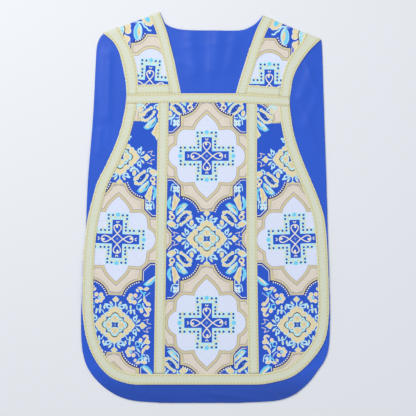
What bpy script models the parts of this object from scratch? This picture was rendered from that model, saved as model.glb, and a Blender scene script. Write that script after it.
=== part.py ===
"""Roman (fiddle-backed) chasuble, laid flat with its front uppermost.

The back lies face down on the surface with its lining showing. The front panel lies on
that lining, and two shoulder straps, sewn to the front along the chest seam, run up to
the shoulders and fold down there to meet the back. Flat woven braid covers the seams.

Frame: +Y towards the neck, +X to the right of the picture, +Z up, origin under the
middle of the garment. All tables are in millimetres.
"""
import bpy
import bmesh
from math import cos, exp, hypot, pi, radians, sin
from mathutils import Vector

MM = 0.001
SEAM_GAP = 0.3
PANEL_WALL = 1.6
LINING_WALL = 1.0
BRAID_WALL = 1.0

BACK_TOP = PANEL_WALL
LINING_TOP = BACK_TOP + SEAM_GAP + LINING_WALL
FRONT_TOP = LINING_TOP + SEAM_GAP + PANEL_WALL
BRAID_TOP = FRONT_TOP + SEAM_GAP + BRAID_WALL

# The shoulder fold turns through a right angle and ends just above the surface.
FOLD_END = 0.2
FOLD_RADIUS = FRONT_TOP - FOLD_END
FOLD_ROWS = 5
BACK_FOLD_INSET = 2.3
LINING_FOLD_INSET = 3.8

BRAID_INSET = 1.0
EDGE_BRAID = 29.0
PILLAR_BRAID = 29.0
CHEST_BRAID = 24.0
STRAP_BRAID = 28.0
# How much wider the armhole side's braid lies at each station of a strap.
ARMHOLE_SPREAD = {
    "left": (1.0, 4.0, 6.5, 8.0, 7.5, 5.5, 5.0, 19.0),
    "right": (0.0, 0.0, 1.0, 3.5, 8.5, 9.5, 10.0, 19.0),
}
# The hem braid starts to turn up beside the right upright braid, so both end this far above it.
PILLAR_FOOT_GAP = 0.8
# The edge braid's two upper ends lie this far outside the ends of the chest seam, and the
# front's own stations start this far below them.
EDGE_HEAD_OUT = (2.5, 0.3)
EDGE_HEAD_CLEARANCE = 5.0

# Straight rows across a panel bend into its upper edge over this length.
BACK_FADE = 150.0
FRONT_FADE = 120.0

# Numbers of spans: across each shoulder fold and along the neckline of the back and of its
# lining, along the chest seam of the front and of its braid, along the hem and a pillar.
BACK_SPANS = (2, 12)
LINING_SPANS = (6, 16)
FRONT_SEAM_SPANS = 16
CHEST_SPANS = 20
HEM_SPANS = 8
PILLAR_SPANS = 16
STRAP_SPANS = 6
STRAP_END_SPANS = 4

# Stations of the back, shoulder to hem: left x, left y, right x, right y.
BACK_STATIONS = (
    (-282, 478, 318, 461),
    (-297, 448, 320, 440),
    (-302, 388, 322, 388),
    (-309, 246, 326, 246),
    (-323, 72, 332, 72),
    (-329, -71, 336, -71),
    (-337, -214, 340, -214),
    (-342, -308, 342, -308),
    (-337, -399, 336, -397),
    (-315, -455, 307, -451),
    (-268, -502, 266, -498),
    (-208, -529, 206, -529),
    (-123, -537, 95, -537),
)

# The neckline of the back between the two neck points: x, y.
NECKLINE = (
    (-125, 536),
    (-118, 520),
    (-108, 503),
    (-84, 492),
    (-49, 487),
    (20, 486),
    (94, 486),
    (126, 497),
    (144, 511),
    (158, 527),
)

# Stations of the front, chest to hem: left x, left y, right x, right y.
FRONT_STATIONS = (
    (-217, 310, 232, 303),
    (-222, 265, 233, 265),
    (-241, 191, 246, 191),
    (-270, 124, 269, 124),
    (-297, 70, 292, 70),
    (-313, 15, 314, 15),
    (-325, -38, 328, -38),
    (-334, -120, 335, -120),
    (-338, -227, 339, -227),
    (-337, -299, 339, -299),
    (-326, -365, 328, -365),
    (-303, -420, 292, -420),
    (-264, -464, 240, -464),
    (-221, -482, 180, -482),
    (-191, -487, 144, -487),
)

# The chest seam, left to right: x, y.
CHEST_SEAM = (
    (-217, 310),
    (-67, 313),
    (83, 313),
    (232, 303),
)

# Stations of the straps, chest seam to shoulder fold: left x, left y, right x, right y.
LEFT_STRAP = (
    (-217, 310, -67, 313),
    (-218.5, 336, -72, 338),
    (-222, 358, -79, 371),
    (-226.5, 384, -84, 398),
    (-233.5, 411, -92, 430),
    (-242, 434, -99, 460),
    (-256, 456, -107, 488),
    (-282, 478, -125, 536),
)
RIGHT_STRAP = (
    (83, 313, 232, 303),
    (90, 338, 236, 327),
    (99, 368, 240, 351),
    (108, 396, 250.5, 378.5),
    (116, 424, 265.5, 402.5),
    (126, 452, 283.5, 427),
    (138, 486, 301, 445),
    (158, 527, 318, 461),
)
# The strap-end braid covers these stations of a strap, the first just above the seam.
STRAP_END_BRAID = (0.05, 0.5, 1.0)

# Centre lines of the two upright braids: x at the chest, x at the waist, x at the hem.
PILLARS = {"left": (-115, -122, -127), "right": (127, 127, 132)}

# Broad soft rises that lift the lining, the front and the braids together:
# start x, start y, end x, end y, half width, height.
BROAD_RISES = (
    (-250, 60, 40, 110, 95, 1.5),
    (60, -60, 290, -140, 100, 1.7),
    (-230, -250, 10, -330, 105, 1.6),
    (-60, 300, 60, 280, 80, 1.0),
)
# Narrower wrinkles of the lining where nothing lies on it, in the same columns.
LINING_WRINKLES = (
    (-42, 466, -30, 372, 17, 2.2),
    (34, 470, 22, 380, 19, 2.6),
    (80, 462, 64, 388, 15, 1.8),
    (-268, 420, -272, 250, 15, 2.2),
    (-288, 210, -294, 150, 9, 1.2),
    (290, 372, 264, 306, 15, 2.6),
    (302, 290, 272, 222, 14, 2.0),
    (-180, -512, 190, -512, 10, 1.6),
)

# Base colour, roughness.
MATERIALS = {
    "brocade": ((0.62, 0.69, 0.80, 1.0), 0.62),
    "lining": ((0.055, 0.13, 0.66, 1.0), 0.42),
    "braid": ((0.73, 0.72, 0.53, 1.0), 0.5),
}


def clear_scene():
    for obj in list(bpy.data.objects):
        bpy.data.objects.remove(obj, do_unlink=True)


def make_materials():
    made = {}
    for name, (colour, roughness) in MATERIALS.items():
        material = bpy.data.materials.new(name)
        material.use_nodes = True
        shader = material.node_tree.nodes["Principled BSDF"]
        shader.inputs["Base Color"].default_value = colour
        shader.inputs["Roughness"].default_value = roughness
        made[name] = material
    return made


def blend(a, b, t):
    return tuple(p + (q - p) * t for p, q in zip(a, b))


def catmull_rom(table, s):
    """The smooth curve through the rows of a table, at the row number s."""
    last = len(table) - 1
    i = min(int(s), last - 1)
    t = s - i
    p1, p2 = table[i], table[i + 1]
    p0 = table[i - 1] if i else tuple(2 * a - b for a, b in zip(p1, p2))
    p3 = table[i + 2] if i + 2 <= last else tuple(2 * b - a for a, b in zip(p1, p2))
    return tuple(
        0.5 * (2 * b + (c - a) * t + (2 * a - 5 * b + 4 * c - d) * t**2 + (3 * b - a - 3 * c + d) * t**3)
        for a, b, c, d in zip(p0, p1, p2, p3)
    )


def smooth_rows(table, steps):
    """The table's rows with the given number of spans between each two."""
    count = (len(table) - 1) * steps
    return [catmull_rom(table, i / steps) for i in range(count + 1)]


def along(polyline, t):
    """The point at the share t of a polyline's length."""
    lengths = [hypot(b[0] - a[0], b[1] - a[1]) for a, b in zip(polyline, polyline[1:])]
    left = t * sum(lengths)
    for a, b, length in zip(polyline, polyline[1:], lengths):
        if left <= length:
            return blend(a, b, left / length)
        left -= length
    return polyline[-1]


def smoothstep(t):
    t = min(max(t, 0.0), 1.0)
    return t * t * (3 - 2 * t)


def rise_at(x, y, rises):
    """Height of the soft rises at a point, each one a rounded ridge with faded ends."""
    total = 0.0
    for x0, y0, x1, y1, half_width, height in rises:
        dx, dy = x1 - x0, y1 - y0
        t = min(max(((x - x0) * dx + (y - y0) * dy) / (dx * dx + dy * dy), 0.0), 1.0)
        off = hypot(x - x0 - t * dx, y - y0 - t * dy)
        total += height * exp(-((off / half_width) ** 2))
    return total


def broad_rise(x, y):
    return rise_at(x, y, BROAD_RISES)


def lining_rise(x, y):
    return broad_rise(x, y) + rise_at(x, y, LINING_WRINKLES)


def wall(name, rows, thickness, material):
    """A cloth wall whose upper face goes through rows of points.

    Rows run towards +Y and their points towards +X, so the face looks up.
    """
    spans_y, spans_x = len(rows) - 1, len(rows[0]) - 1
    bm = bmesh.new()
    bmesh.ops.create_grid(bm, x_segments=spans_x, y_segments=spans_y, size=1.0)
    for vert in bm.verts:
        column = round((vert.co.x + 1) / 2 * spans_x)
        row = round((vert.co.y + 1) / 2 * spans_y)
        vert.co = Vector(rows[row][column]) * MM
    mesh = bpy.data.meshes.new(name)
    bm.to_mesh(mesh)
    bm.free()
    mesh.shade_smooth()
    mesh.materials.append(material)
    obj = bpy.data.objects.new(name, mesh)
    garment.objects.link(obj)
    thick = obj.modifiers.new("cloth", "SOLIDIFY")
    thick.thickness = thickness * MM
    thick.offset = -1
    thick.use_even_offset = True
    return obj


def fold_normal(strap):
    """The direction in plan that points out of a strap's shoulder fold."""
    x0, y0, x1, y1 = strap[-1]
    length = hypot(x1 - x0, y1 - y0)
    return -(y1 - y0) / length, (x1 - x0) / length


def back_top_edge(inset, spans):
    """The back's upper edge: left shoulder, neckline, right shoulder, set in at the folds."""
    fold_spans, neck_spans = spans
    shoulders = []
    for strap in (LEFT_STRAP, RIGHT_STRAP):
        nx, ny = fold_normal(strap)
        x0, y0, x1, y1 = strap[-1]
        ends = (x0 - nx * inset, y0 - ny * inset), (x1 - nx * inset, y1 - ny * inset)
        shoulders.append([blend(*ends, i / fold_spans) for i in range(fold_spans + 1)])
    neck = smooth_rows(NECKLINE, 4)
    middle = [along(neck, i / neck_spans) for i in range(1, neck_spans)]
    return shoulders[0] + middle + shoulders[1]


def panel_rows(stations, top_edge, fade_length):
    """Straight rows across the stations, whose upper ones bend into the top edge."""
    columns = len(top_edge) - 1
    first = stations[0]
    rows = []
    for lx, ly, rx, ry in stations:
        depth = (first[1] + first[3] - ly - ry) / 2
        share = 1 - smoothstep(depth / fade_length)
        row = []
        for column, (tx, ty) in enumerate(top_edge):
            u = column / columns
            x, y = blend((lx, ly), (rx, ry), u)
            x0, y0 = blend((first[0], first[1]), (first[2], first[3]), u)
            row.append((x + (tx - x0) * share, y + (ty - y0) * share))
        rows.append(row)
    return rows[::-1]


def lifted(rows, top, rise):
    return [[(x, y, top + rise(x, y)) for x, y in row] for row in rows]


def no_rise(x, y):
    return 0.0


def make_back(materials):
    stations = smooth_rows(BACK_STATIONS, 2)
    plain = panel_rows(stations, back_top_edge(BACK_FOLD_INSET, BACK_SPANS), BACK_FADE)
    wall("back_panel", lifted(plain, BACK_TOP, no_rise), PANEL_WALL, materials["brocade"])
    fine_edge = back_top_edge(LINING_FOLD_INSET, LINING_SPANS)
    fine = panel_rows(smooth_rows(BACK_STATIONS, 3), fine_edge, BACK_FADE)
    wall("back_lining", lifted(fine, LINING_TOP, lining_rise), LINING_WALL, materials["lining"])


def front_rows():
    stations = smooth_rows(FRONT_STATIONS, 2)
    seam = [along(CHEST_SEAM, i / FRONT_SEAM_SPANS) for i in range(FRONT_SEAM_SPANS + 1)]
    rows = panel_rows(stations, seam, FRONT_FADE)
    rows[-1] = [(x, y - SEAM_GAP) for x, y in rows[-1]]
    return rows


def make_front(materials):
    wall("front_panel", lifted(front_rows(), FRONT_TOP, broad_rise), PANEL_WALL, materials["brocade"])


def strap_point(strap, s, t, lift=0.0):
    """A point of a strap's outer face: s counts its stations, t goes across it.

    Past the last station s - last is the share of the shoulder fold's right angle.
    """
    last = len(strap) - 1
    nx, ny = fold_normal(strap)
    if s <= last:
        x0, y0, x1, y1 = catmull_rom(strap, s)
        pull = FOLD_RADIUS * smoothstep(s - last + 1)
        x, y = blend((x0, y0), (x1, y1), t)
        x, y = x - nx * pull, y - ny * pull
        return x, y, FRONT_TOP + broad_rise(x, y) + lift
    x0, y0, x1, y1 = strap[-1]
    x, y = blend((x0, y0), (x1, y1), t)
    angle = (s - last) * pi / 2
    out = (FOLD_RADIUS + lift) * sin(angle) - FOLD_RADIUS
    return x + nx * out, y + ny * out, FOLD_END + (FOLD_RADIUS + lift) * cos(angle)


def strap_stations(strap, start=0.0):
    last = len(strap) - 1
    flat = [i / 2 for i in range(2 * last + 1) if i / 2 > start]
    fold = [last + (i + 1) / FOLD_ROWS for i in range(FOLD_ROWS)]
    return [start] + flat + fold


def strap_width(strap, s):
    x0, y0, x1, y1 = catmull_rom(strap, min(s, len(strap) - 1))
    return hypot(x1 - x0, y1 - y0)


def armhole_spread(side, s):
    """How much wider the armhole braid is at a station, the same over the fold as at it."""
    table = ARMHOLE_SPREAD[side]
    last = len(table) - 1
    i = min(int(s), last - 1)
    share = min(s, last) - i
    return table[i] + (table[i + 1] - table[i]) * share


def strap_band(strap, stations, from_left, from_right, spans, lift):
    """Rows of a band on a strap, at each station set in from the strap's left and right side."""
    rows = []
    for s, left, right in zip(stations, from_left, from_right):
        width = strap_width(strap, s)
        a, b = left / width, 1 - right / width
        rows.append([strap_point(strap, s, a + (b - a) * i / spans, lift) for i in range(spans + 1)])
    return rows


def braid_reach(side, kind, stations):
    """How far from a strap's side the braid along it reaches at each station."""
    spreads = [armhole_spread(side, s) if kind == "armhole" else 0.0 for s in stations]
    return [BRAID_INSET + STRAP_BRAID + spread for spread in spreads]


def make_straps(materials):
    lift = SEAM_GAP + BRAID_WALL
    for side, strap, kinds in (
        ("left", LEFT_STRAP, ("armhole", "neck")),
        ("right", RIGHT_STRAP, ("neck", "armhole")),
    ):
        stations = strap_stations(strap)
        edge = [0.0] * len(stations)
        rows = strap_band(strap, stations, edge, edge, STRAP_SPANS, 0.0)
        wall("strap_" + side, rows, PANEL_WALL, materials["brocade"])
        stations = strap_stations(strap, STRAP_END_BRAID[0])
        edge = [BRAID_INSET] * len(stations)
        widths = [strap_width(strap, s) for s in stations]
        beyond_left, beyond_right = (
            [width - reach for width, reach in zip(widths, braid_reach(side, kind, stations))] for kind in kinds
        )
        rows = strap_band(strap, stations, edge, beyond_left, 2, lift)
        wall(f"braid_{kinds[0]}_{side}", rows, BRAID_WALL, materials["braid"])
        rows = strap_band(strap, stations, beyond_right, edge, 2, lift)
        wall(f"braid_{kinds[1]}_{side}", rows, BRAID_WALL, materials["braid"])
        insets = [[reach + SEAM_GAP for reach in braid_reach(side, kind, STRAP_END_BRAID)] for kind in kinds]
        end = strap_band(strap, STRAP_END_BRAID, *insets, STRAP_END_SPANS, lift)
        wall("braid_strap_end_" + side, end, BRAID_WALL, materials["braid"])


def on_front(rows):
    return lifted(rows, BRAID_TOP, broad_rise)


def make_chest_braid(materials):
    seam = [along(CHEST_SEAM, i / CHEST_SPANS) for i in range(CHEST_SPANS + 1)]
    rows = []
    for drop in (BRAID_INSET + CHEST_BRAID, BRAID_INSET):
        row = [(x, y - drop) for x, y in seam]
        row[0] = (row[0][0] + BRAID_INSET, row[0][1])
        row[-1] = (row[-1][0] - BRAID_INSET, row[-1][1])
        rows.append(row)
    wall("braid_chest", on_front(rows), BRAID_WALL, materials["braid"])


def front_edge_path():
    """The front's edge from the chest down the left side, along the hem and up again."""
    stations = smooth_rows(FRONT_STATIONS, 3)
    drop = BRAID_INSET + CHEST_BRAID + SEAM_GAP
    starts = FRONT_STATIONS[0][1] - drop, FRONT_STATIONS[0][3] - drop
    left = [(lx, ly) for lx, ly, rx, ry in stations if ly < starts[0] - EDGE_HEAD_CLEARANCE]
    right = [(rx, ry) for lx, ly, rx, ry in stations if ry < starts[1] - EDGE_HEAD_CLEARANCE]
    hem = [blend(left[-1], right[-1], i / HEM_SPANS) for i in range(1, HEM_SPANS)]
    left.insert(0, (FRONT_STATIONS[0][0] - EDGE_HEAD_OUT[0], starts[0]))
    right.insert(0, (FRONT_STATIONS[0][2] + EDGE_HEAD_OUT[1], starts[1]))
    return left + hem + right[::-1]


def inward(path, distance):
    """A path moved to the left of its direction, that is into the front."""
    moved = []
    for i, (x, y) in enumerate(path):
        x0, y0 = path[max(i - 1, 0)]
        x1, y1 = path[min(i + 1, len(path) - 1)]
        length = hypot(x1 - x0, y1 - y0)
        moved.append((x - (y1 - y0) / length * distance, y + (x1 - x0) / length * distance))
    moved[0] = (moved[0][0], path[0][1])
    moved[-1] = (moved[-1][0], path[-1][1])
    return moved


def make_edge_braid(materials):
    path = front_edge_path()
    rows = [inward(path, BRAID_INSET + EDGE_BRAID * share) for share in (0.0, 0.5, 1.0)]
    wall("braid_front_edge", on_front(rows), BRAID_WALL, materials["braid"])


def make_pillars(materials):
    top = CHEST_SEAM[1][1] - BRAID_INSET - CHEST_BRAID - SEAM_GAP
    bottom = FRONT_STATIONS[-1][1] + BRAID_INSET + EDGE_BRAID + PILLAR_FOOT_GAP
    heights = [bottom + (top - bottom) * i / PILLAR_SPANS for i in range(PILLAR_SPANS + 1)]
    for side, (chest, waist, hem) in PILLARS.items():
        rows = []
        for y in heights:
            s = 2 * (top - y) / (top - bottom)
            x = catmull_rom(((chest,), (waist,), (hem,)), s)[0]
            row = [(x + PILLAR_BRAID * share, y) for share in (-0.5, 0.0, 0.5)]
            rows.append(row)
        rows[-1] = [(x, min(y, chest_y(x) - BRAID_INSET - CHEST_BRAID - SEAM_GAP)) for x, y in rows[-1]]
        wall("braid_pillar_" + side, on_front(rows), BRAID_WALL, materials["braid"])


def chest_y(x):
    """The height of the chest seam at x."""
    for (x0, y0), (x1, y1) in zip(CHEST_SEAM, CHEST_SEAM[1:]):
        if x <= x1:
            return y0 + (y1 - y0) * (x - x0) / (x1 - x0)
    return CHEST_SEAM[-1][1]


def round_shading():
    for obj in garment.objects:
        obj.data.set_sharp_from_angle(angle=radians(40))


clear_scene()
garment = bpy.data.collections.new("chasuble")
bpy.context.scene.collection.children.link(garment)
cloths = make_materials()
make_back(cloths)
make_front(cloths)
make_straps(cloths)
make_chest_braid(cloths)
make_edge_braid(cloths)
make_pillars(cloths)
round_shading()
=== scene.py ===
"""Looks of a Roman chasuble laid flat: figured brocade, satin lining and woven braid.

The brocade is charted as shapes in painter's order, cut into the cloth's own faces and
dyed face by face, so that the figure is part of the mesh. Tables are in millimetres in
the plan of the garment, as it lies: +X to the right, +Y towards the neck.
"""
from math import atan2, ceil, cos, degrees, exp, floor, hypot, pi, radians, sin

import bmesh
import bpy
from bpy.props import FloatProperty, FloatVectorProperty, PointerProperty
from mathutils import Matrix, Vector
from mathutils.geometry import delaunay_2d_cdt


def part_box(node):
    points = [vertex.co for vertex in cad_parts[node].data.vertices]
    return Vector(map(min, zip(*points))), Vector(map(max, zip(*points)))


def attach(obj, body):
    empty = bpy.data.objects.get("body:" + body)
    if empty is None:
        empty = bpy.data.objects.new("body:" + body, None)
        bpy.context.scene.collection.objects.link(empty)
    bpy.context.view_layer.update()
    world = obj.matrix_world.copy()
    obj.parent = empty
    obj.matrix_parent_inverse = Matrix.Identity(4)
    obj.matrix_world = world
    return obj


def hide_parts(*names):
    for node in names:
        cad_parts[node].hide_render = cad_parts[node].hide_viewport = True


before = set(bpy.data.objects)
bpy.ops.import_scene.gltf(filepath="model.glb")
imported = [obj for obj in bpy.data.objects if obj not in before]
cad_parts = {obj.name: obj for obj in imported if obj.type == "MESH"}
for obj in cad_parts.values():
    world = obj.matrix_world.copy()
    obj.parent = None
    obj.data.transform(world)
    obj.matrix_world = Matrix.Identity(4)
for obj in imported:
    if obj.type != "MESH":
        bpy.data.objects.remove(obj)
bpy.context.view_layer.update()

bl_info = {
    "name": "Laid chasuble",
    "version": (1, 0, 0),
    "blender": (4, 5, 0),
    "location": "View3D > Sidebar > Chasuble",
    "description": "Dresses a flat laid Roman chasuble in brocade, satin and braid",
    "category": "Object",
}

MM = 0.001
SEAM_GAP = 0.3
BACK_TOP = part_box("back_panel")[1].z / MM

# Stations of the back, shoulder to hem: left x, left y, right x, right y.
BACK_STATIONS = (
    (-282, 478, 318, 461),
    (-297, 448, 320, 440),
    (-302, 388, 322, 388),
    (-309, 246, 326, 246),
    (-323, 72, 332, 72),
    (-329, -71, 336, -71),
    (-337, -214, 340, -214),
    (-342, -308, 342, -308),
    (-337, -399, 336, -397),
    (-315, -455, 307, -451),
    (-268, -502, 266, -498),
    (-208, -529, 206, -529),
    (-123, -537, 95, -537),
)
# The neckline of the back between the two neck points: x, y.
NECKLINE = (
    (-125, 536),
    (-118, 520),
    (-108, 503),
    (-84, 492),
    (-49, 487),
    (20, 486),
    (94, 486),
    (126, 497),
    (144, 511),
    (158, 527),
)
# Stations of the front, chest to hem: left x, left y, right x, right y.
FRONT_STATIONS = (
    (-217, 310, 232, 303),
    (-222, 265, 233, 265),
    (-241, 191, 246, 191),
    (-270, 124, 269, 124),
    (-297, 70, 292, 70),
    (-313, 15, 314, 15),
    (-325, -38, 328, -38),
    (-334, -120, 335, -120),
    (-338, -227, 339, -227),
    (-337, -299, 339, -299),
    (-326, -365, 328, -365),
    (-303, -420, 292, -420),
    (-264, -464, 240, -464),
    (-221, -482, 180, -482),
    (-191, -487, 144, -487),
)
CHEST_SEAM = ((-217, 310), (-67, 313), (83, 313), (232, 303))
# Stations of the straps, chest seam to shoulder fold: left x, left y, right x, right y.
STRAPS = {
    "left": (
        (-217, 310, -67, 313),
        (-218.5, 336, -72, 338),
        (-222, 358, -79, 371),
        (-226.5, 384, -84, 398),
        (-233.5, 411, -92, 430),
        (-242, 434, -99, 460),
        (-256, 456, -107, 488),
        (-282, 478, -125, 536),
    ),
    "right": (
        (83, 313, 232, 303),
        (90, 338, 236, 327),
        (99, 368, 240, 351),
        (108, 396, 250.5, 378.5),
        (116, 424, 265.5, 402.5),
        (126, 452, 283.5, 427),
        (138, 486, 301, 445),
        (158, 527, 318, 461),
    ),
}
STRAP_END_STATION = 1.0
# Centre lines of the two upright braids: x at the chest, the waist and the hem.
PILLARS = {"left": (-115, -122, -127), "right": (127, 127, 132)}

FOLD_END = 0.2
BACK_FOLD_INSET = 2.3
LINING_FOLD_INSET = 3.8
BRAID_INSET = 1.0
PILLAR_FOOT_GAP = 0.8

# Soft rises and creases: start x, start y, end x, end y, half width, height.
BROAD_RISES = (
    (-250, 60, 40, 110, 95, 1.5),
    (60, -60, 290, -140, 100, 1.7),
    (-230, -250, 10, -330, 105, 1.6),
    (-60, 300, 60, 280, 80, 1.0),
)
LINING_WRINKLES = (
    (-42, 466, -30, 372, 17, 2.2),
    (34, 470, 22, 380, 19, 2.6),
    (80, 462, 64, 388, 15, 1.8),
    (-268, 420, -272, 250, 15, 2.2),
    (-288, 210, -294, 150, 9, 1.2),
    (290, 372, 264, 306, 15, 2.6),
    (302, 290, 272, 222, 14, 2.0),
    (-180, -512, 190, -512, 10, 1.6),
)
# Finer creases of the lining, in the same columns.
LINING_CREASES = (
    (10, 480, 12, 330, 5, 0.5),
    (-60, 440, 60, 452, 8, 0.5),
    (-70, 400, -20, 380, 10, 0.7),
    (40, 400, 92, 340, 10, 0.8),
    (-280, 440, -286, 300, 4, 0.6),
    (-262, 400, -268, 180, 5, 0.7),
    (-300, 330, -322, 60, 4, 0.5),
    (276, 392, 306, 316, 8, 1.4),
    (258, 300, 292, 210, 8, 1.2),
    (312, 330, 318, 150, 4, 0.5),
    (284, 232, 318, 120, 7, 0.9),
    (-150, -520, -30, -525, 6, 1.6),
    (20, -512, 150, -526, 6, 2.2),
    (120, -500, 250, -508, 6, 1.8),
    (230, -482, 300, -440, 6, 1.8),
    (-300, -440, -240, -490, 7, 1.8),
)


def srgb(r, g, b):
    """A picture colour in 0 to 255 as linear light."""
    out = []
    for value in (r, g, b):
        c = value / 255
        out.append(c / 12.92 if c <= 0.04045 else ((c + 0.055) / 1.055) ** 2.4)
    return tuple(out)


def dye_property(name, description, colour):
    return FloatVectorProperty(
        name=name, description=description, subtype="COLOR", size=3, min=0, max=1, default=srgb(*colour)
    )


class ChasubleDyes(bpy.types.PropertyGroup):
    ground: dye_property("Ground", "Blue satin ground of the brocade", (34, 86, 206))
    navy: dye_property("Navy", "Dark outline and beaded line", (24, 44, 128))
    field: dye_property("Field", "White-blue field behind the cross", (226, 234, 255))
    tan: dye_property("Frame", "Pale tan frame of a medallion", (231, 221, 206))
    gold: dye_property("Gold", "Gold outline thread", (222, 210, 164))
    line: dye_property("Thin line", "Thin grey line beside the gold", (186, 178, 176))
    cream: dye_property("Cream", "Cream of petals and buds", (236, 224, 184))
    pale: dye_property("Pale cyan", "Pale cyan edging", (196, 240, 250))
    cyan: dye_property("Cyan", "Bright cyan", (120, 216, 250))
    white: dye_property("White", "White of stitches and beads", (244, 244, 246))
    peach: dye_property("Peach", "Peach specks", (240, 204, 160))
    brown: dye_property("Brown", "Dark line round a rosette", (100, 94, 88))
    star: dye_property("Star", "Small grey-blue star", (128, 156, 222))
    dot: dye_property("Dot", "Deep blue of the small dots", (30, 76, 180))
    ivory: dye_property("Ivory", "Ivory of the looped lines", (243, 238, 220))
    reed: dye_property("Reed", "Pale greenish squares of the cross's border", (224, 228, 200))
    sand: dye_property("Sand", "Slightly deeper stripe in the tan frame", (226, 214, 198))
    rose: dye_property("Rose", "Pinkish cream of thin leaf lines", (222, 214, 214))
    lilac: dye_property("Lilac", "Pale lilac stems", (176, 200, 244))
    lining: dye_property("Lining", "Blue satin lining", (34, 88, 208))
    braid: dye_property("Braid", "Pale greenish cream of the braid", (227, 232, 214))
    braid_gold: dye_property("Braid gold", "Gold thread of the braid's edges", (204, 194, 120))
    braid_rim: dye_property("Braid rim", "Bright thread along the braid's sides", (240, 234, 200))
    floor: dye_property("Floor", "Pale studio floor", (233, 235, 239))


class ChasubleSizes(bpy.types.PropertyGroup):
    panel_wall: FloatProperty(
        name="Brocade", description="Thickness of the lined brocade", unit="LENGTH", default=0.0016
    )
    lining_wall: FloatProperty(
        name="Lining", description="Thickness of the lining", unit="LENGTH", default=0.001
    )
    braid_wall: FloatProperty(
        name="Braid", description="Thickness of the braid", unit="LENGTH", default=0.001
    )
    edge_braid: FloatProperty(
        name="Edge braid", description="Width of the braid round the front", unit="LENGTH", default=0.029
    )
    chest_braid: FloatProperty(
        name="Chest braid", description="Width of the braid across the chest", unit="LENGTH", default=0.024
    )
    strap_braid: FloatProperty(
        name="Strap braid", description="Width of the braid on the straps", unit="LENGTH", default=0.028
    )
    weave: FloatProperty(
        name="Weave", description="Distance between two threads of the weave", unit="LENGTH", default=0.0007
    )


def blend(a, b, t):
    return tuple(p + (q - p) * t for p, q in zip(a, b))


def catmull_rom(table, s):
    """The smooth curve through the rows of a table, at the row number s."""
    last = len(table) - 1
    i = min(int(s), last - 1)
    t = s - i
    p1, p2 = table[i], table[i + 1]
    p0 = table[i - 1] if i else tuple(2 * a - b for a, b in zip(p1, p2))
    p3 = table[i + 2] if i + 2 <= last else tuple(2 * b - a for a, b in zip(p1, p2))
    return tuple(
        0.5 * (2 * b + (c - a) * t + (2 * a - 5 * b + 4 * c - d) * t**2 + (3 * b - a - 3 * c + d) * t**3)
        for a, b, c, d in zip(p0, p1, p2, p3)
    )


def smooth_rows(table, steps):
    count = (len(table) - 1) * steps
    return [catmull_rom(table, i / steps) for i in range(count + 1)]


def smoothstep(t):
    t = min(max(t, 0.0), 1.0)
    return t * t * (3 - 2 * t)


def path_lengths(path):
    total, found = 0.0, [0.0]
    for a, b in zip(path, path[1:]):
        total += hypot(b[0] - a[0], b[1] - a[1])
        found.append(total)
    return found


def resampled(path, count):
    """The path with count even spans."""
    lengths = path_lengths(path)
    points, k = [], 0
    for i in range(count + 1):
        want = lengths[-1] * i / count
        while k < len(path) - 2 and lengths[k + 1] < want:
            k += 1
        span = lengths[k + 1] - lengths[k]
        points.append(blend(path[k], path[k + 1], (want - lengths[k]) / span if span else 0.0))
    return points


def plan_area(polygon):
    pairs = zip(polygon, polygon[1:] + polygon[:1])
    return sum(a[0] * b[1] - b[0] * a[1] for a, b in pairs) / 2


def edge_distance(point, edge):
    """How far a point lies from a straight edge."""
    (x0, y0), (x1, y1) = edge
    dx, dy = x1 - x0, y1 - y0
    t = ((point[0] - x0) * dx + (point[1] - y0) * dy) / (dx * dx + dy * dy or 1.0)
    t = min(max(t, 0.0), 1.0)
    return hypot(point[0] - x0 - t * dx, point[1] - y0 - t * dy)


def grown(polygon, distance):
    """A closed outline moved outwards by a distance, or inwards where it is negative."""
    if plan_area(polygon) < 0:
        polygon = polygon[::-1]
    moved = []
    edges = list(zip(polygon, polygon[1:] + polygon[:1]))
    count = len(polygon)
    for i, (x, y) in enumerate(polygon):
        x0, y0 = polygon[i - 1]
        x1, y1 = polygon[(i + 1) % count]
        a = Vector((y - y0, x0 - x))
        b = Vector((y1 - y, x - x1))
        if a.length < 1e-6 or b.length < 1e-6:
            continue
        a.normalize()
        b.normalize()
        half = a + b
        if half.length < 0.3:
            half = a
        half.normalize()
        step = distance / max(half.dot(a), 0.5)
        point = (x + half.x * step, y + half.y * step)
        if min(edge_distance(point, edge) for edge in edges) > 0.93 * abs(distance):
            moved.append(point)
    return moved


def arc(cx, cy, radius, start, stop, steps=8):
    """Points of an arc, its angles in degrees."""
    turns = [radians(start + (stop - start) * i / steps) for i in range(steps + 1)]
    return [(cx + radius * cos(a), cy + radius * sin(a)) for a in turns]


def disc(x, y, radius, sides=10):
    return arc(x, y, radius, 0, 360 - 360 / sides, sides - 1)


def oval(x, y, long, short, turn=0.0, sides=16):
    c, s = cos(radians(turn)), sin(radians(turn))
    return [(x + c * long * u - s * short * v, y + s * long * u + c * short * v) for u, v in disc(0, 0, 1, sides)]


def box(x0, y0, x1, y1):
    return [(x0, y0), (x1, y0), (x1, y1), (x0, y1)]


def along_line(x0, y0, x1, y1, profile, bend=0.0):
    """A shape about a line: profile gives (share of the length, half width), both sides alike."""
    dx, dy = x1 - x0, y1 - y0
    length = hypot(dx, dy)
    nx, ny = -dy / length, dx / length
    sides = ([], [])
    for t, half in profile:
        sag = bend * length * 4 * t * (1 - t)
        cx, cy = x0 + dx * t + nx * sag, y0 + dy * t + ny * sag
        sides[0].append((cx + nx * half, cy + ny * half))
        if half > 0:
            sides[1].append((cx - nx * half, cy - ny * half))
    return sides[0] + sides[1][::-1]


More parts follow.
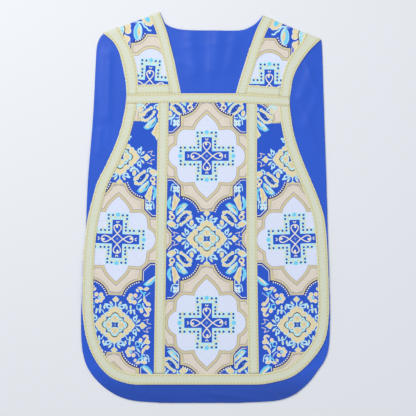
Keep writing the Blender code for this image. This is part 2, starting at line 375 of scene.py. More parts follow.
def leaf(x0, y0, x1, y1, width, bend=0.0, belly=0.45):
    """A leaf with two pointed ends, widest at the share belly of its length."""
    shares = (0.0, 0.1, 0.25, 0.42, 0.6, 0.78, 0.92, 1.0)
    power = {0.45: 1.0}.get(belly, 0.7 / max(belly, 0.1) * 0.45)
    profile = [(t, width / 2 * sin(pi * t**power)) for t in shares]
    profile[0], profile[-1] = (0.0, 0.0), (1.0, 0.0)
    return along_line(x0, y0, x1, y1, profile, bend)


def petal(x0, y0, x1, y1, width, bend=0.0):
    """A petal that starts thin and ends round."""
    profile = [(0, 0.0), (0.2, 0.16), (0.42, 0.34), (0.62, 0.48), (0.8, 0.46), (0.93, 0.28), (1, 0.0)]
    return along_line(x0, y0, x1, y1, [(t, half * width) for t, half in profile], bend)


def ribbon(path, width):
    """A line of even width along an open path."""
    left, right = [], []
    for i, (x, y) in enumerate(path):
        x0, y0 = path[max(i - 1, 0)]
        x1, y1 = path[min(i + 1, len(path) - 1)]
        length = hypot(x1 - x0, y1 - y0) or 1.0
        nx, ny = -(y1 - y0) / length * width / 2, (x1 - x0) / length * width / 2
        left.append((x + nx, y + ny))
        right.append((x - nx, y - ny))
    return left + right[::-1]


def shifted(shapes, dx, dy, turn=0.0):
    """Shapes turned about their origin and moved."""
    c, s = cos(radians(turn)), sin(radians(turn))
    return [(dye, [(dx + c * x - s * y, dy + s * x + c * y) for x, y in points]) for dye, points in shapes]


def flipped(shapes, sx, sy):
    return [(dye, [(x * sx, y * sy) for x, y in points]) for dye, points in shapes]


def in_pairs(shapes):
    return shapes + flipped(shapes, -1, 1)


def in_fours(shapes):
    """The shapes of one quarter and their mirror images in the other three."""
    half = in_pairs(shapes)
    return half + flipped(half, 1, -1)


def whole(quarter):
    """A closed outline from its quarter, given from the top middle round to the right middle."""
    right = quarter + [(x, -y) for x, y in quarter[::-1] if y > 0.01]
    return right + [(-x, y) for x, y in right[::-1] if x > 0.01]


# Medallion, first quarter from the top middle round to the right middle, about its centre.
FIELD_QUARTER = (
    [(0, 115), (6, 109.5), (13, 103), (20, 96), (26, 88), (30.5, 80), (33, 71)]
    + arc(56.5, 49, 24, 84, 2, 8)
    + arc(73, 0, 31.5, 73, 0, 9)
)
ROUND_FIELD_QUARTER = (
    arc(0, 51, 44, 90, 34, 8)
    + [(37, 75)]
    + arc(60, 49, 25, 84, 2, 8)
    + arc(73, 0, 31.5, 73, 0, 9)
)
SIDE_TIP = [(92, 61.5), (108, 61)] + arc(150, 66, 40, 192, 248, 5) + [(148, 13), (148, 0)]
FRAME_QUARTER = [(0, 152), (18, 152)] + arc(73.5, 166.5, 57, 196, 266, 9) + [(71, 109), (71, 82)] + SIDE_TIP
BROAD_FRAME_QUARTER = (
    [(0, 133.5), (14, 133.5)] + arc(53.7, 145.7, 38, 200, 262, 8) + [(60, 107), (60, 88), (71, 82)] + SIDE_TIP
)
BEAD_PITCH = 6.2


def line_and_beads(arc_path, straight_path, reach):
    """Navy and white outside a frame: beads along the arc and a plain line along the rest."""
    shapes = [
        ("navy", ribbon(arc_path, 6.6)),
        ("navy", ribbon(grown_path(straight_path, 1.9), 3.0)),
        ("white", ribbon(grown_path(straight_path, 4.3), 1.9)),
    ]
    beads = resampled(grown_path(arc_path, reach), int(path_lengths(arc_path)[-1] / BEAD_PITCH))
    for (x, y), (x1, y1) in zip(beads, beads[1:]):
        shapes.append(("white", oval(x, y, 2.4, 2.4, degrees(atan2(y1 - y, x1 - x)) + 45, 4)))
    return shapes


def grown_path(path, distance):
    """An open path moved to the left of its direction."""
    moved = []
    for i, (x, y) in enumerate(path):
        x0, y0 = path[max(i - 1, 0)]
        x1, y1 = path[min(i + 1, len(path) - 1)]
        length = hypot(x1 - x0, y1 - y0)
        moved.append((x - (y1 - y0) / length * distance, y + (x1 - x0) / length * distance))
    return moved


def frame_lines(broad):
    """One quarter of the lines outside a medallion's frame."""
    if broad:
        upper, corner = arc(53.7, 145.7, 35, 202, 272, 12), [(60, 110), (60, 89), (71, 83)]
    else:
        upper, corner = arc(73.5, 166.5, 54, 196, 266, 12), [(71, 112), (71, 83), (92, 62.5), (106, 62)]
    side = arc(150, 66, 37, 196, 246, 6)
    return line_and_beads(upper, corner, 1.9) + line_and_beads(side, [(136, 29), (147, 15)], 1.9)


def cross_outline(half_x, half_y, arm_x, arm_y):
    """An upright cross: its reaches and the half widths of its arms."""
    quarter = [(0, half_y), (arm_x, half_y), (arm_x, arm_y), (half_x, arm_y), (half_x, 0)]
    return whole(quarter)


def teardrop(length, width):
    """A teardrop that starts at the origin and rounds off along +Y."""
    turns = [2 * pi * i / 20 for i in range(20)]
    return [(width / 2 * sin(a) * sin(a / 2) / 0.77, length * (1 - cos(a)) / 2) for a in turns]


def loop_and_crown(start, length, width, crown_y):
    """A looped line that ends in a bud, and the small crown past it."""
    return [
        ("ivory", shift_outline(teardrop(length, width), 0, start)),
        ("ground", shift_outline(grown(teardrop(length, width), -2.9), 0, start)),
        ("ivory", oval(-1.5, start + length - 6.5, 3.4, 4.2)),
        ("navy", disc(1.8, start + length - 5.5, 1.4, 6)),
        ("ivory", leaf(0, crown_y - 1, -4.6, crown_y + 4.5, 3.4)),
        ("ivory", leaf(0, crown_y - 1, 4.6, crown_y + 4.5, 3.4)),
        ("star", leaf(0, crown_y - 4, 0, crown_y + 1.5, 3.0)),
    ]


def shift_outline(points, dx, dy):
    return [(x + dx, y + dy) for x, y in points]


# Centres of the blue dots and the reed-coloured squares of a cross's border, first quarter.
BORDER_DOTS = (
    (25.3, 64),
    (13.5, 64),
    (25.3, 54.5),
    (23, 40.7),
    (23, 32),
    (23, 23.2),
    (34, 23),
    (45, 23),
    (60, 23),
    (71.5, 23),
    (71.5, 13.5),
)
BORDER_SQUARES = (
    (19.3, 60),
    (7, 59.5),
    (18.5, 49),
    (28, 47.5),
    (27.5, 36.5),
    (18, 28),
    (28.5, 18.5),
    (39.5, 26.5),
    (52.5, 18.5),
    (65.5, 26),
    (65.5, 18),
    (65.5, 6),
)


def cross():
    shapes = [
        ("pale", cross_outline(77, 69.5, 31, 27.8)),
        ("ground", cross_outline(60.5, 51.5, 14.2, 13.2)),
    ]
    quarter = [("reed", box(x - 3.3, y - 3.3, x + 3.3, y + 3.3)) for x, y in BORDER_SQUARES]
    quarter += [("dot", disc(x, y, 3.2, 8)) for x, y in BORDER_DOTS]
    shapes += in_fours(quarter)
    for x, y in ((73, 0), (-73, 0), (0, 65.5), (0, -65.5)):
        shapes.append(("cyan", disc(x, y, 5.8, 12)))
    for turn, start, length, width, crown_y in (
        (0, 13, 27, 23, 44),
        (180, 13, 27, 23, 44),
        (90, 14.5, 30, 20, 49),
        (270, 14.5, 30, 20, 49),
    ):
        shapes += shifted(loop_and_crown(start, length, width, crown_y), 0, 0, turn)
    rim = [(0, 16), (17.5, 0), (0, -16), (-17.5, 0)]
    shapes += [("ivory", rim), ("ground", [(x * 0.76, y * 0.76) for x, y in rim])]
    star = []
    for k in range(8):
        reach = 6.2 if k % 2 == 0 else 2.2
        star.append((reach * sin(k * pi / 4), reach * cos(k * pi / 4)))
    return shapes + [("star", star)]


def medallion(broad=False):
    """The lobed field with the cross in its tan and gold frame."""
    frame_line = whole(BROAD_FRAME_QUARTER if broad else FRAME_QUARTER)
    field = whole(ROUND_FIELD_QUARTER if broad else FIELD_QUARTER)
    shapes = in_fours(frame_lines(broad))
    for dye, outline, reach in (
        ("gold", frame_line, 0.0),
        ("line", frame_line, -4.2),
        ("tan", frame_line, -6.8),
        ("sand", frame_line, -12.0),
        ("tan", frame_line, -13.6),
        ("line", field, 9.4),
        ("gold", field, 6.8),
        ("line", field, 1.9),
        ("field", field, 0.0),
    ):
        shapes.append((dye, grown(outline, reach) if reach else outline))
    return shapes + cross()


def edged(shapes, rim=1.0, dye="pale"):
    """The shapes over a thin rim of another dye, so that they merge inside it."""
    return [(dye, grown(points, rim)) for _, points in shapes] + shapes


def beads_of(dye, places):
    return [(dye, disc(x, y, radius, 9)) for x, y, radius in places]


def specks(*places):
    return [("peach", oval(x, y, 1.9, 1.3, 30 * i, 6)) for i, (x, y) in enumerate(places)]


def slim_petal(x0, y0, x1, y1, width=6.2):
    return [("pale", petal(x0, y0, x1, y1, width)), ("cream", petal(*blend((x0, y0), (x1, y1), 0.45), x1, y1, width - 2))]


def hollow_leaf(points, heart):
    """A pale outlined leaf with a blue heart."""
    return [("pale", points), ("ground", heart)]


def side_fan():
    """What grows from the right tip of a rosette, first quarter."""
    shapes = slim_petal(56, 4, 69, 16.5)
    leaf_line = [(55, 9.5), (50, 13), (48, 19), (51, 24.5), (56, 25), (58.8, 30), (61.5, 27), (60.5, 19), (58.5, 12)]
    shapes += hollow_leaf(leaf_line, [(55, 12.5), (52, 18), (54.5, 21), (57, 19.5), (57, 15)])
    shapes += [
        ("rose", ribbon([(78, 14), (84, 16), (92, 18.5)], 2.0)),
        ("rose", ribbon([(92, 18.5), (88.5, 13), (87.5, 8.5)], 2.0)),
        ("rose", ribbon([(87.5, 8.5), (92, 6), (99, 5)], 2.0)),
    ]
    return shapes


def side_bud():
    body = [(66, 1.4), (70, 3), (73, 8), (77, 8.5), (81, 4), (87, 0), (81, -4), (77, -8.5), (73, -8), (70, -3)]
    return [("pale", ribbon([(58, 0), (68, 0)], 3.2))] + edged([("cream", body)]) + specks((76, 2), (79, -2))


def top_fan():
    """What grows from the upper tip of a rosette, right half."""
    shapes = slim_petal(5, 51, 16.5, 64)
    leaf_line = [(7, 50), (12, 45), (20, 43.5), (25, 46), (26, 51), (31, 55), (29, 58.5), (20, 57), (12, 54)]
    return shapes + hollow_leaf(leaf_line, [(12, 49.5), (17, 47), (21.5, 48.5), (21, 52.5), (16, 52.5)])


def top_bud():
    body = [(0, 62.5), (5, 65), (8.5, 69.5), (4, 74), (0, 77.5), (-4, 74), (-8.5, 69.5), (-5, 65)]
    return [("pale", ribbon([(0, 50), (0, 64)], 3.0))] + edged([("cream", body)]) + specks((0, 70), (-3, 68))


RIGHT_CROWN = ((31.8, 19.6, 6.6), (40.8, 11.4, 6.0), (46.2, 3.6, 5.8), (51.5, 0, 3.6))
TOP_CROWN = ((21.2, 28.4, 5.8), (11.8, 37.6, 6.2), (4.2, 42.4, 5.8), (0, 48.0, 3.4))


def crowns():
    """The scalloped crowns on the four sides of a rosette."""
    quarter = [("cream", disc(x, y, r, 12)) for x, y, r in RIGHT_CROWN + TOP_CROWN]
    quarter.append(("cream", [(30, 0), (24.5, 14), (29, 20), (32, 19), (41, 11), (47, 3), (47, 0)]))
    quarter.append(("cream", [(0, 28), (17, 19), (19, 25), (21, 28), (12, 37), (4, 42), (0, 44)]))
    return in_fours(edged(quarter, 1.2)) + in_fours(quarter)


def rosette_core():
    """The diamond of petals with its crowns and fans."""
    fans = in_fours(side_fan()) + side_bud() + flipped(side_bud(), -1, 1)
    tops = in_fours(top_fan()) + top_bud() + flipped(top_bud(), 1, -1)
    shapes = fans + tops + crowns()
    crown_specks = specks((31, 21), (40, 12), (45, 5), (21, 29), (12, 38), (5, 43), (35, 15))
    shapes += in_fours(crown_specks)
    for dye, x, y in (("brown", 37.8, 35.6), ("pale", 34.4, 32.2), ("cream", 26.8, 24.6)):
        shapes.append((dye, whole(stepped_side(x, y))))
    quarter = [("cyan", disc(30.4 - 6.2 * i, 5.6 * i + 1.5, 1.9, 7)) for i in range(5)]
    quarter += [("pale", ribbon([(9, 8), (16, 14)], 2.6)), ("brown", disc(14, 12.5, 1.5, 6))]
    quarter += specks((20, 1.5), (17, 5), (3, 17), (6, 20), (24, 0))
    shapes += in_fours(quarter)
    for turn, reach in ((0, 17), (90, 17.5), (180, 17), (270, 17.5)):
        heart = [("gold", petal(0, reach - 7, 0, reach + 5, 5.4))]
        rim = specks((-7.5, reach + 2), (-4.5, reach + 5), (0, reach + 7), (4.5, reach + 5), (7.5, reach + 2))
        shapes += shifted([("cream", oval(0, reach, 9.2, 7.7))] + heart + rim, 0, 0, turn)
    flare = [(9.6, 8), (3.4, 6), (-3.4, 6), (-9.6, 8), (-7.4, 0), (-9.6, -8)]
    flare += [(-3.4, -6), (3.4, -6), (9.6, -8), (7.4, 0)]
    shapes += [("pale", grown(flare, 1.8)), ("dot", flare), ("star", disc(0, 0, 3.4, 8))]
    return shapes


def stepped_side(reach_x, reach_y):
    """A quarter of a diamond whose side steps a little in and out."""
    quarter = []
    for i in range(19):
        t = i / 18
        push = 1.7 * sin(t * 3 * pi) ** 2
        quarter.append((reach_x * t + push, reach_y * (1 - t) + push))
    quarter[0], quarter[-1] = (0, reach_y), (reach_x, 0)
    return quarter


RING_BEADS = (
    (47.5, 71, 5.0),
    (54.5, 73.8, 3.4),
    (61.5, 72, 4.2),
    (67.5, 66.8, 3.0),
    (72.5, 61.8, 3.2),
    (76.8, 56, 3.2),
    (79.5, 49.5, 3.8),
    (43.5, 62.5, 3.0),
    (45, 58.5, 4.6),
    (50, 57, 5.0),
    (53.5, 52, 4.0),
    (58.5, 47, 3.6),
    (64, 43.5, 3.4),
    (70.5, 39, 4.4),
)


def spray():
    """The flowers beyond a rosette's corner, first quarter."""
    shapes = edged(beads_of("cream", RING_BEADS))
    shapes += specks((47, 59), (50, 56), (47.5, 71), (60, 72), (57, 48), (69, 39))
    shapes += [("dot", oval(63.5, 56, 14.5, 5.0, -48)), ("star", disc(60, 58.5, 2.0, 6))]
    shapes += [
        ("pale", ribbon([(31, 40), (32, 34.5), (37, 30.5), (43, 29)], 7.4)),
        ("reed", ribbon([(33, 38), (34, 35), (37.5, 32), (41, 31)], 2.4)),
        ("pale", ribbon([(42, 30), (49, 33.5), (55, 41)], 4.6)),
    ]
    shapes += edged([("cream", oval(41.5, 43.5, 7.6, 4.8, 100))]) + specks((41.3, 42), (41.8, 46))
    cyan_leaf = [(50.5, 92.5), (56, 97), (63, 98.5), (70, 94.5), (76, 91.5), (82, 84), (86, 74), (84.5, 62.5)]
    cyan_leaf += [(78, 66), (69, 78), (61, 86)]
    shapes += [("cyan", cyan_leaf), ("pale", leaf(53, 91, 84, 64, 7.5, 0.02))]
    shapes += [("cream", leaf(57, 93, 69, 88, 7.0)), ("cream", leaf(68, 87, 83.5, 65.5, 5.2))]
    shapes += [("dot", leaf(74, 86.5, 83.5, 74, 2.6)), ("peach", leaf(72, 83, 80, 71, 2.0))]
    lance = [(88.5, 126), (84, 116), (77, 111), (74, 106.5), (79, 99), (82.5, 90), (88, 79.5), (94, 76.5)]
    lance += [(96, 83), (94, 91), (95, 98), (92, 106), (92.5, 114)]
    shapes += edged([("cream", lance)], 0.9) + [("peach", leaf(90, 82, 84.5, 110, 5.0)), ("gold", leaf(87, 92, 88, 116, 3.0))]
    crescent = [(99, 118), (104, 111), (108, 104), (109.5, 96), (107, 86), (101, 79), (94.5, 77)]
    crescent += [(98, 84), (100.5, 92), (98, 100), (97.5, 109)]
    shapes += [("cyan", crescent), ("white", leaf(97.5, 117, 101, 104, 2.6))]
    shapes += edged([("cream", oval(98.5, 71.5, 5.0, 3.0, 15))], 1.0, "white") + specks((98, 72))
    shapes += edged([("cream", disc(95.5, 60, 7.0, 12))], 1.3, "white") + [("dot", oval(95, 59.5, 4.4, 3.0, 40))]
    shapes += [("pale", ribbon([(79.5, 41), (79.5, 33), (86, 28.5), (91, 31)], 4.2))]
    shapes += [("pale", leaf(93, 50, 111, 42, 6.0, 0.1))]
    cup = [(84, 38), (89, 44), (95, 48), (101, 45.5), (108, 41.5), (104, 36), (97, 32), (89, 32.5)]
    return shapes + edged([("cream", cup)]) + specks((92, 42), (97, 38), (90, 37), (101, 40))


def small_blossom():
    """A four-petalled flower on a bent stem, about its own middle."""
    shapes = []
    for k in range(4):
        shapes += shifted([("pale", oval(0, 6.6, 4.4, 5.0))], 0, 0, 45 + 90 * k)
    shapes += [("white", disc(0, 0, 4.6, 8)), ("dot", disc(0, 0, 1.8, 6))]
    shapes += [("pale", ribbon([(7, 14), (-2, 14.6)], 3.0))]
    return shapes + [("pale", ribbon([(-5, 14.5), (-10.5, 13), (-13.5, 4), (-14, -5)], 2.8))]


# Berries of the sprig, petals of the small flower: x, y, long, short, turn, first quarter.
SPRIG_BERRIES = (
    (30.5, 48, 6.2, 3.0, 90),
    (41.5, 49, 6.4, 3.0, 90),
    (42.5, 36, 5.6, 3.0, 90),
    (51.5, 39, 5.4, 2.8, 90),
    (53, 32.5, 3.4, 2.6, 90),
)
FLOWER_PETALS = ((40.8, 81.5, 5.0), (53.5, 82, 4.6), (36, 73, 4.8), (41, 65.5, 4.6), (51.5, 63.5, 5.0))


def sprig():
    """The sprig, flower and pods beyond a rosette's corner, first quarter."""
    shapes = [("pale", ribbon([(22, 22), (31, 31), (35, 39), (44, 42), (52, 40)], 2.6))]
    for x, y, long, short, turn in SPRIG_BERRIES:
        shapes += [("pale", oval(x, y, long, short, turn, 10)), ("cream", oval(x, y, long - 2.2, short - 1.3, turn, 8))]
    shapes += edged(beads_of("cream", FLOWER_PETALS), 1.2, "white")
    shapes += [("cyan", disc(45, 73, 4.4, 9)), ("reed", disc(47.5, 73.5, 2.4, 7))]
    shapes += specks(*[(x, y) for x, y, _ in FLOWER_PETALS])
    shapes += [
        ("lilac", ribbon([(55.5, 73.5), (61, 74), (66.5, 78.5), (70, 86)], 3.4)),
        ("pale", leaf(59.5, 60, 73.5, 75.5, 5.2)),
        ("cyan", ribbon([(58, 55.5), (63, 58.5), (69, 56.5), (70, 50), (66, 45.5)], 3.2)),
        ("pale", ribbon([(58.5, 52.5), (59, 46), (64, 43.5), (69, 45.5)], 3.0)),
        ("cyan", ribbon([(69, 46), (75, 48.5), (80, 52)], 3.6)),
        ("cyan", ribbon([(66, 97), (71, 91), (76, 88), (82, 92)], 4.2)),
        ("cyan", ribbon([(76, 90), (77.5, 80)], 4.0)),
        ("lilac", ribbon([(78, 78), (85, 84), (94, 91)], 2.2)),
        ("pale", ribbon([(74.5, 62), (76, 54), (81, 49.5), (86, 47)], 3.6)),
    ]
    shapes += edged([("cream", oval(71.5, 40.5, 5.0, 3.8, 100))], 1.3, "white") + specks((71.5, 41))
    pods = [("cream", leaf(77, 79, 88, 58, 6.0, -0.1)), ("cream", oval(89.5, 59.5, 6.4, 4.8, -25))]
    pods += [("cream", oval(91, 44.5, 6.2, 5.2, 20)), ("cream", ribbon([(82, 48), (87, 40), (91, 33), (89, 28)], 4.6))]
    pods += [("cream", ribbon([(89, 28.5), (84, 27), (79, 31)], 4.0))]
    shapes += edged(pods, 1.0, "white") + specks((80, 72), (84, 64), (91, 59), (92, 45), (88, 38), (85, 47))
    marks = [("cream", leaf(61, 92, 56, 100, 6)), ("cream", leaf(60, 104, 74, 100, 7)), ("cream", leaf(76, 99, 90, 103, 8))]
    shapes += edged(marks, 0.9, "white") + specks((70, 101), (84, 101))
    wing = [(74, 113), (84, 108), (96, 113), (106, 125), (110, 142), (98, 132), (86, 124)]
    shapes += [("cyan", wing), ("white", leaf(80, 112, 107, 138, 6.0)), ("cream", leaf(84, 114, 104, 133, 5.0))]
    return shapes


def figured_core():
    return [("ground", box(-2, -2, 2, 2))] + rosette_core()


# Where the repeat lies on the front: columns' middles at the waist, their lean and the rows.
MIDDLE_X = 3.5
UPPER_CROSS_Y = 140.8
LOWER_CROSS_Y = -317.0
MIDDLE_ROSETTE_Y = -86.0
SIDE_REACH = 245.0
SIDE_CROSS_Y = -86.5
SIDE_LEAN = 1.9
UPPER_ROSETTE = 226.0
LOWER_ROSETTE = -235.7
CORNER_SPRAYS = ((-141.5, 214.0), (-160.0, -488.0))
# The weave isn't quite even, so the lower cross and the side ones are a little taller.
CROSS_STRETCH = {UPPER_CROSS_Y: (1.0, 1.0), LOWER_CROSS_Y: (1.02, 1.05)}
SIDE_STRETCH = (1.0, 1.015)
SIDE_SHIFTS = (-0.8, -2.6)
SIDE_DROPS = (0.0, 6.0)


def middle_figure():
    """The cross and flower column between the upright braids."""
    shapes = shifted(in_fours(spray()) + rosette_core(), MIDDLE_X, MIDDLE_ROSETTE_Y)
    for x, y in CORNER_SPRAYS:
        corner = shifted(spray(), x, y)
        shapes += shifted(corner + flipped(corner, -1, 1), MIDDLE_X, 0)
    for sx in (-1, 1):
        shapes += shifted(medallion(), MIDDLE_X + sx * SIDE_REACH, MIDDLE_ROSETTE_Y)
    for centre_y in (UPPER_CROSS_Y, LOWER_CROSS_Y):
        for sx in (-1, 1):
            for sy in (-1, 1) if centre_y > 0 else (1,):
                blossom = flipped(small_blossom(), -sx, 1)
                shapes += shifted(blossom, MIDDLE_X + sx * 84, centre_y + sy * 91)
        shapes += shifted(flipped(medallion(), *CROSS_STRETCH[centre_y]), MIDDLE_X, centre_y)
    return shapes


def joined_corner():
    """The corner of another medallion's frame where the cloth is pieced, over the upper rosette."""
    x, y = 101, 337
    shapes = [("tan", box(-40, 325, 80, 420))]
    for dye, radius in (("line", 57), ("gold", 54.5), ("navy", 50), ("ground", 44)):
        shapes.append((dye, disc(x, y, radius, 48)))
    for k in range(9):
        turn = 180 - 14 - 6.6 * k
        point = (x + 46 * cos(radians(turn)), y + 46 * sin(radians(turn)))
        shapes.append(("white", oval(*point, 2.5, 2.5, turn + 45, 4)))
    shapes += [("gold", box(-40, 325, 48, 330)), ("ground", box(-60, 120, 170, 325))]
    return shapes


def side_figure(drop):
    """The column of the left side, about its cross, its upper end lower by a drop."""
    shapes = joined_corner()
    shapes += shifted(flipped(spray(), 1, -1), 10.7, 401)
    upper = flipped(spray(), 1, -1) + flipped(spray(), -1, -1) + rosette_core()
    shapes = shifted(shapes + shifted(flipped(upper, 0.95, 1), 1.5, UPPER_ROSETTE), 0, -drop)
    for sx in (-1, 1):
        shapes += shifted(flipped(small_blossom(), -sx, 1), sx * 84, 91)
        shapes += shifted(flipped(small_blossom(), -sx, 1), sx * 84, -330)
    shapes += shifted(in_fours(sprig()) + rosette_core(), 1.6, LOWER_ROSETTE)
    shapes += shifted(medallion(), 1.0, LOWER_ROSETTE * 2 + 9)
    return shapes + flipped(medallion(), *SIDE_STRETCH)


def front_figures():
    """The drawing of each of the front's three columns, with its outline."""
    left, right = (shifted(side_figure(drop), -SIDE_REACH, SIDE_CROSS_Y, -SIDE_LEAN) for drop in SIDE_DROPS)
    sides = (left, flipped(right, -1, 1))
    return middle_figure(), *(shifted(side, MIDDLE_X + dx, 0) for side, dx in zip(sides, SIDE_SHIFTS))


def figured_ground(low, high):
    """The half-drop repeat over a stretch of cloth, for the back, which lies face down."""
    shapes = []
    pitch, repeat = SIDE_REACH - 1, UPPER_CROSS_Y - LOWER_CROSS_Y
    flower = in_fours(crowns() + [("cyan", leaf(50, 92, 84, 64, 14)), ("cream", leaf(94, 77, 88, 120, 16))])
    frame_line, field = whole(FRAME_QUARTER), whole(FIELD_QUARTER)
    framed_cross = [
        ("gold", frame_line),
        ("tan", grown(frame_line, -6.8)),
        ("gold", grown(field, 6.8)),
        ("field", field),
        ("pale", cross_outline(77, 69.5, 31, 27.8)),
        ("ground", cross_outline(60.5, 51.5, 14.2, 13.2)),
    ]
    for motif, drop in ((flower, repeat / 2), (framed_cross, 0.0)):
        for column in range(floor((low[0] - MIDDLE_X) / pitch), ceil((high[0] - MIDDLE_X) / pitch) + 1):
            start = UPPER_CROSS_Y + drop + (repeat / 2 if column % 2 else 0.0)
            for row in range(floor((low[1] - start) / repeat), ceil((high[1] - start) / repeat) + 1):
                shapes += shifted(motif, MIDDLE_X + column * pitch, start + row * repeat)
    return shapes


def rise_at(x, y, rises):
    total = 0.0
    for x0, y0, x1, y1, half_width, height in rises:
        dx, dy = x1 - x0, y1 - y0
        t = min(max(((x - x0) * dx + (y - y0) * dy) / (dx * dx + dy * dy), 0.0), 1.0)
        off = hypot(x - x0 - t * dx, y - y0 - t * dy)
        if off < 3 * half_width:
            total += height * exp(-((off / half_width) ** 2))
    return total


def broad_rise(x, y):
    return rise_at(x, y, BROAD_RISES)


class Layers:
    """Heights of the cloths' upper faces, from the frame and the walls."""

    def __init__(self, sizes):
        self.panel = sizes.panel_wall / MM
        self.lining = sizes.lining_wall / MM
        self.braid = sizes.braid_wall / MM
        self.lining_top = BACK_TOP + SEAM_GAP + self.lining
        self.front_top = self.lining_top + SEAM_GAP + self.panel
        self.braid_lift = SEAM_GAP + self.braid
        self.fold_radius = self.front_top - FOLD_END


def lie_on_lining(layers):
    def place(x, y, lift=0.0):
        rise = broad_rise(x, y) + rise_at(x, y, LINING_WRINKLES) + rise_at(x, y, LINING_CREASES)
        return x, y, layers.lining_top + rise + lift

    return place


def lie_on_front(layers):
    def place(x, y, lift=0.0):
        return x, y, layers.front_top + broad_rise(x, y) + lift

    return place


def fold_frame(strap):
    """A point of a strap's fold line and the direction in plan out of the fold."""
    x0, y0, x1, y1 = strap[-1]
    length = hypot(x1 - x0, y1 - y0)
    return (x0, y0), (-(y1 - y0) / length, (x1 - x0) / length)


def lie_on_strap(layers, strap):
    """Places flat points of a strap: past the fold line's inner side they turn downwards."""
    (px, py), (nx, ny) = fold_frame(strap)
    radius = layers.fold_radius

    def place(x, y, lift=0.0):
        past = (x - px) * nx + (y - py) * ny + radius
        if past <= 0:
            return x, y, layers.front_top + broad_rise(x, y) + lift
        angle = min(past / radius, pi / 2)
        out = (radius + lift) * sin(angle) - past
        return x + nx * out, y + ny * out, FOLD_END + (radius + lift) * cos(angle)

    return place


def new_piece(name, mesh, materials, replaced):
    obj = bpy.data.objects.new(name, mesh)
    bpy.context.scene.collection.objects.link(obj)
    for material in materials:
        mesh.materials.append(material)
    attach(obj, "root")
    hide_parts(*replaced)
    return obj


def thicken(obj, thickness):
    cloth = obj.modifiers.new("cloth", "SOLIDIFY")
    cloth.thickness = thickness * MM
    cloth.offset = -1


def inside_reach(points, low, high):
    return (
        max(p[0] for p in points) > low[0]
        and min(p[0] for p in points) < high[0]
        and max(p[1] for p in points) > low[1]
        and min(p[1] for p in points) < high[1]
    )


# Slivers of less than this area in square millimetres would turn the cloth's normals over.
SMALLEST_FACE = 0.0002


def cut_cloth(name, columns, place, pitch, downwards=False, seeds=()):
    """A cloth of one or more columns, each an outline and the shapes imprinted in its faces.

    No operator imprints overlapping outlines, so Blender's constrained triangulation
    does, and each face takes the topmost of its own column's shapes that cover it.
    """
    corners_of = [p for outline, _ in columns for p in outline]
    low = min(p[0] for p in corners_of), min(p[1] for p in corners_of)
    high = max(p[0] for p in corners_of), max(p[1] for p in corners_of)
    polygons = [(k, "ground", outline) for k, (outline, _) in enumerate(columns)]
    for k, (outline, shapes) in enumerate(columns):
        reach = [f(p[0] for p in outline) for f in (min, max)]
        for dye, polygon in shapes:
            if inside_reach(polygon, (reach[0], low[1]), (reach[1], high[1])):
                polygons.append((k, dye, polygon))
    points, loops, dyes, owners = [], [], [], []
    for owner, dye, polygon in polygons:
        turned = polygon if plan_area(polygon) > 0 else polygon[::-1]
        loops.append(list(range(len(points), len(points) + len(turned))))
        points.extend(Vector(p) for p in turned)
        dyes.append(dye)
        owners.append(owner)
    rows = int((high[1] - low[1]) / (pitch * 0.866))
    for j in range(1, rows):
        y = low[1] + (high[1] - low[1]) * j / rows
        x = low[0] + pitch * (0.5 if j % 2 else 1.0)
        while x < high[0]:
            points.append(Vector((x, y)))
            x += pitch
    points.extend(Vector(p) for p in seeds)
    flat, _, triangles, _, _, sources = delaunay_2d_cdt(points, [], loops, 1, 1e-3, True)
    used, faces, tops = {}, [], []
    for triangle, covering in zip(triangles, sources):
        owner = min(covering, default=len(columns))
        a, b, c = (flat[i] for i in triangle)
        if owner < len(columns) and (b - a).cross(c - a) > SMALLEST_FACE:
            face = [used.setdefault(i, len(used)) for i in triangle]
            faces.append(face[::-1] if downwards else face)
            tops.append(dyes[max(i for i in covering if owners[i] == owner)])
    verts = [None] * len(used)
    for old, new in used.items():
        verts[new] = Vector(place(*flat[old])) * MM
    mesh = bpy.data.meshes.new(name)
    mesh.from_pydata(verts, [], faces)
    mesh.shade_smooth()
    return mesh, tops


GILT = {"gold": 0.7, "cream": 0.25, "tan": 0.1, "peach": 0.2}


def dye_faces(mesh, tops, dyes):
    """Each face's colour, with the share of gilt thread as its alpha."""
    colours = {top: (*getattr(dyes, top), GILT.get(top, 0.0)) for top in set(tops)}
    layer = mesh.attributes.new("dye", "FLOAT_COLOR", "FACE")
    values = [value for top in tops for value in colours[top]]
    layer.data.foreach_set("color", values)


def cloth_node(tree, kind, inputs=(), **settings):
    """A shader node with its settings and the values of its named inputs."""
    node = tree.nodes.new("ShaderNode" + kind)
    for key, value in settings.items():
        setattr(node, key, value)
    for key, value in dict(inputs).items():
        node.inputs[key].default_value = value
    return node


def woven_height(tree, place, pitch):
    """Warp and weft threads as one height, from 0 to 1."""
    waves = []
    for axis in ("X", "Y"):
        wave = cloth_node(
            tree,
            "TexWave",
            {"Scale": 0.314 / pitch, "Distortion": 0.6, "Detail": 1.0},
            wave_type="BANDS",
            bands_direction=axis,
        )
        tree.links.new(place, wave.inputs["Vector"])
        waves.append(wave)
    both = cloth_node(tree, "Math", operation="MULTIPLY")
    for socket, wave in zip(both.inputs, waves):
        tree.links.new(wave.outputs["Fac"], socket)
    return both.outputs[0]


def new_material(name):
    material = bpy.data.materials.new(name)
    material.use_nodes = True
    tree = material.node_tree
    shader = tree.nodes["Principled BSDF"]
    coordinates = cloth_node(tree, "TexCoord")
    return material, tree, shader, coordinates


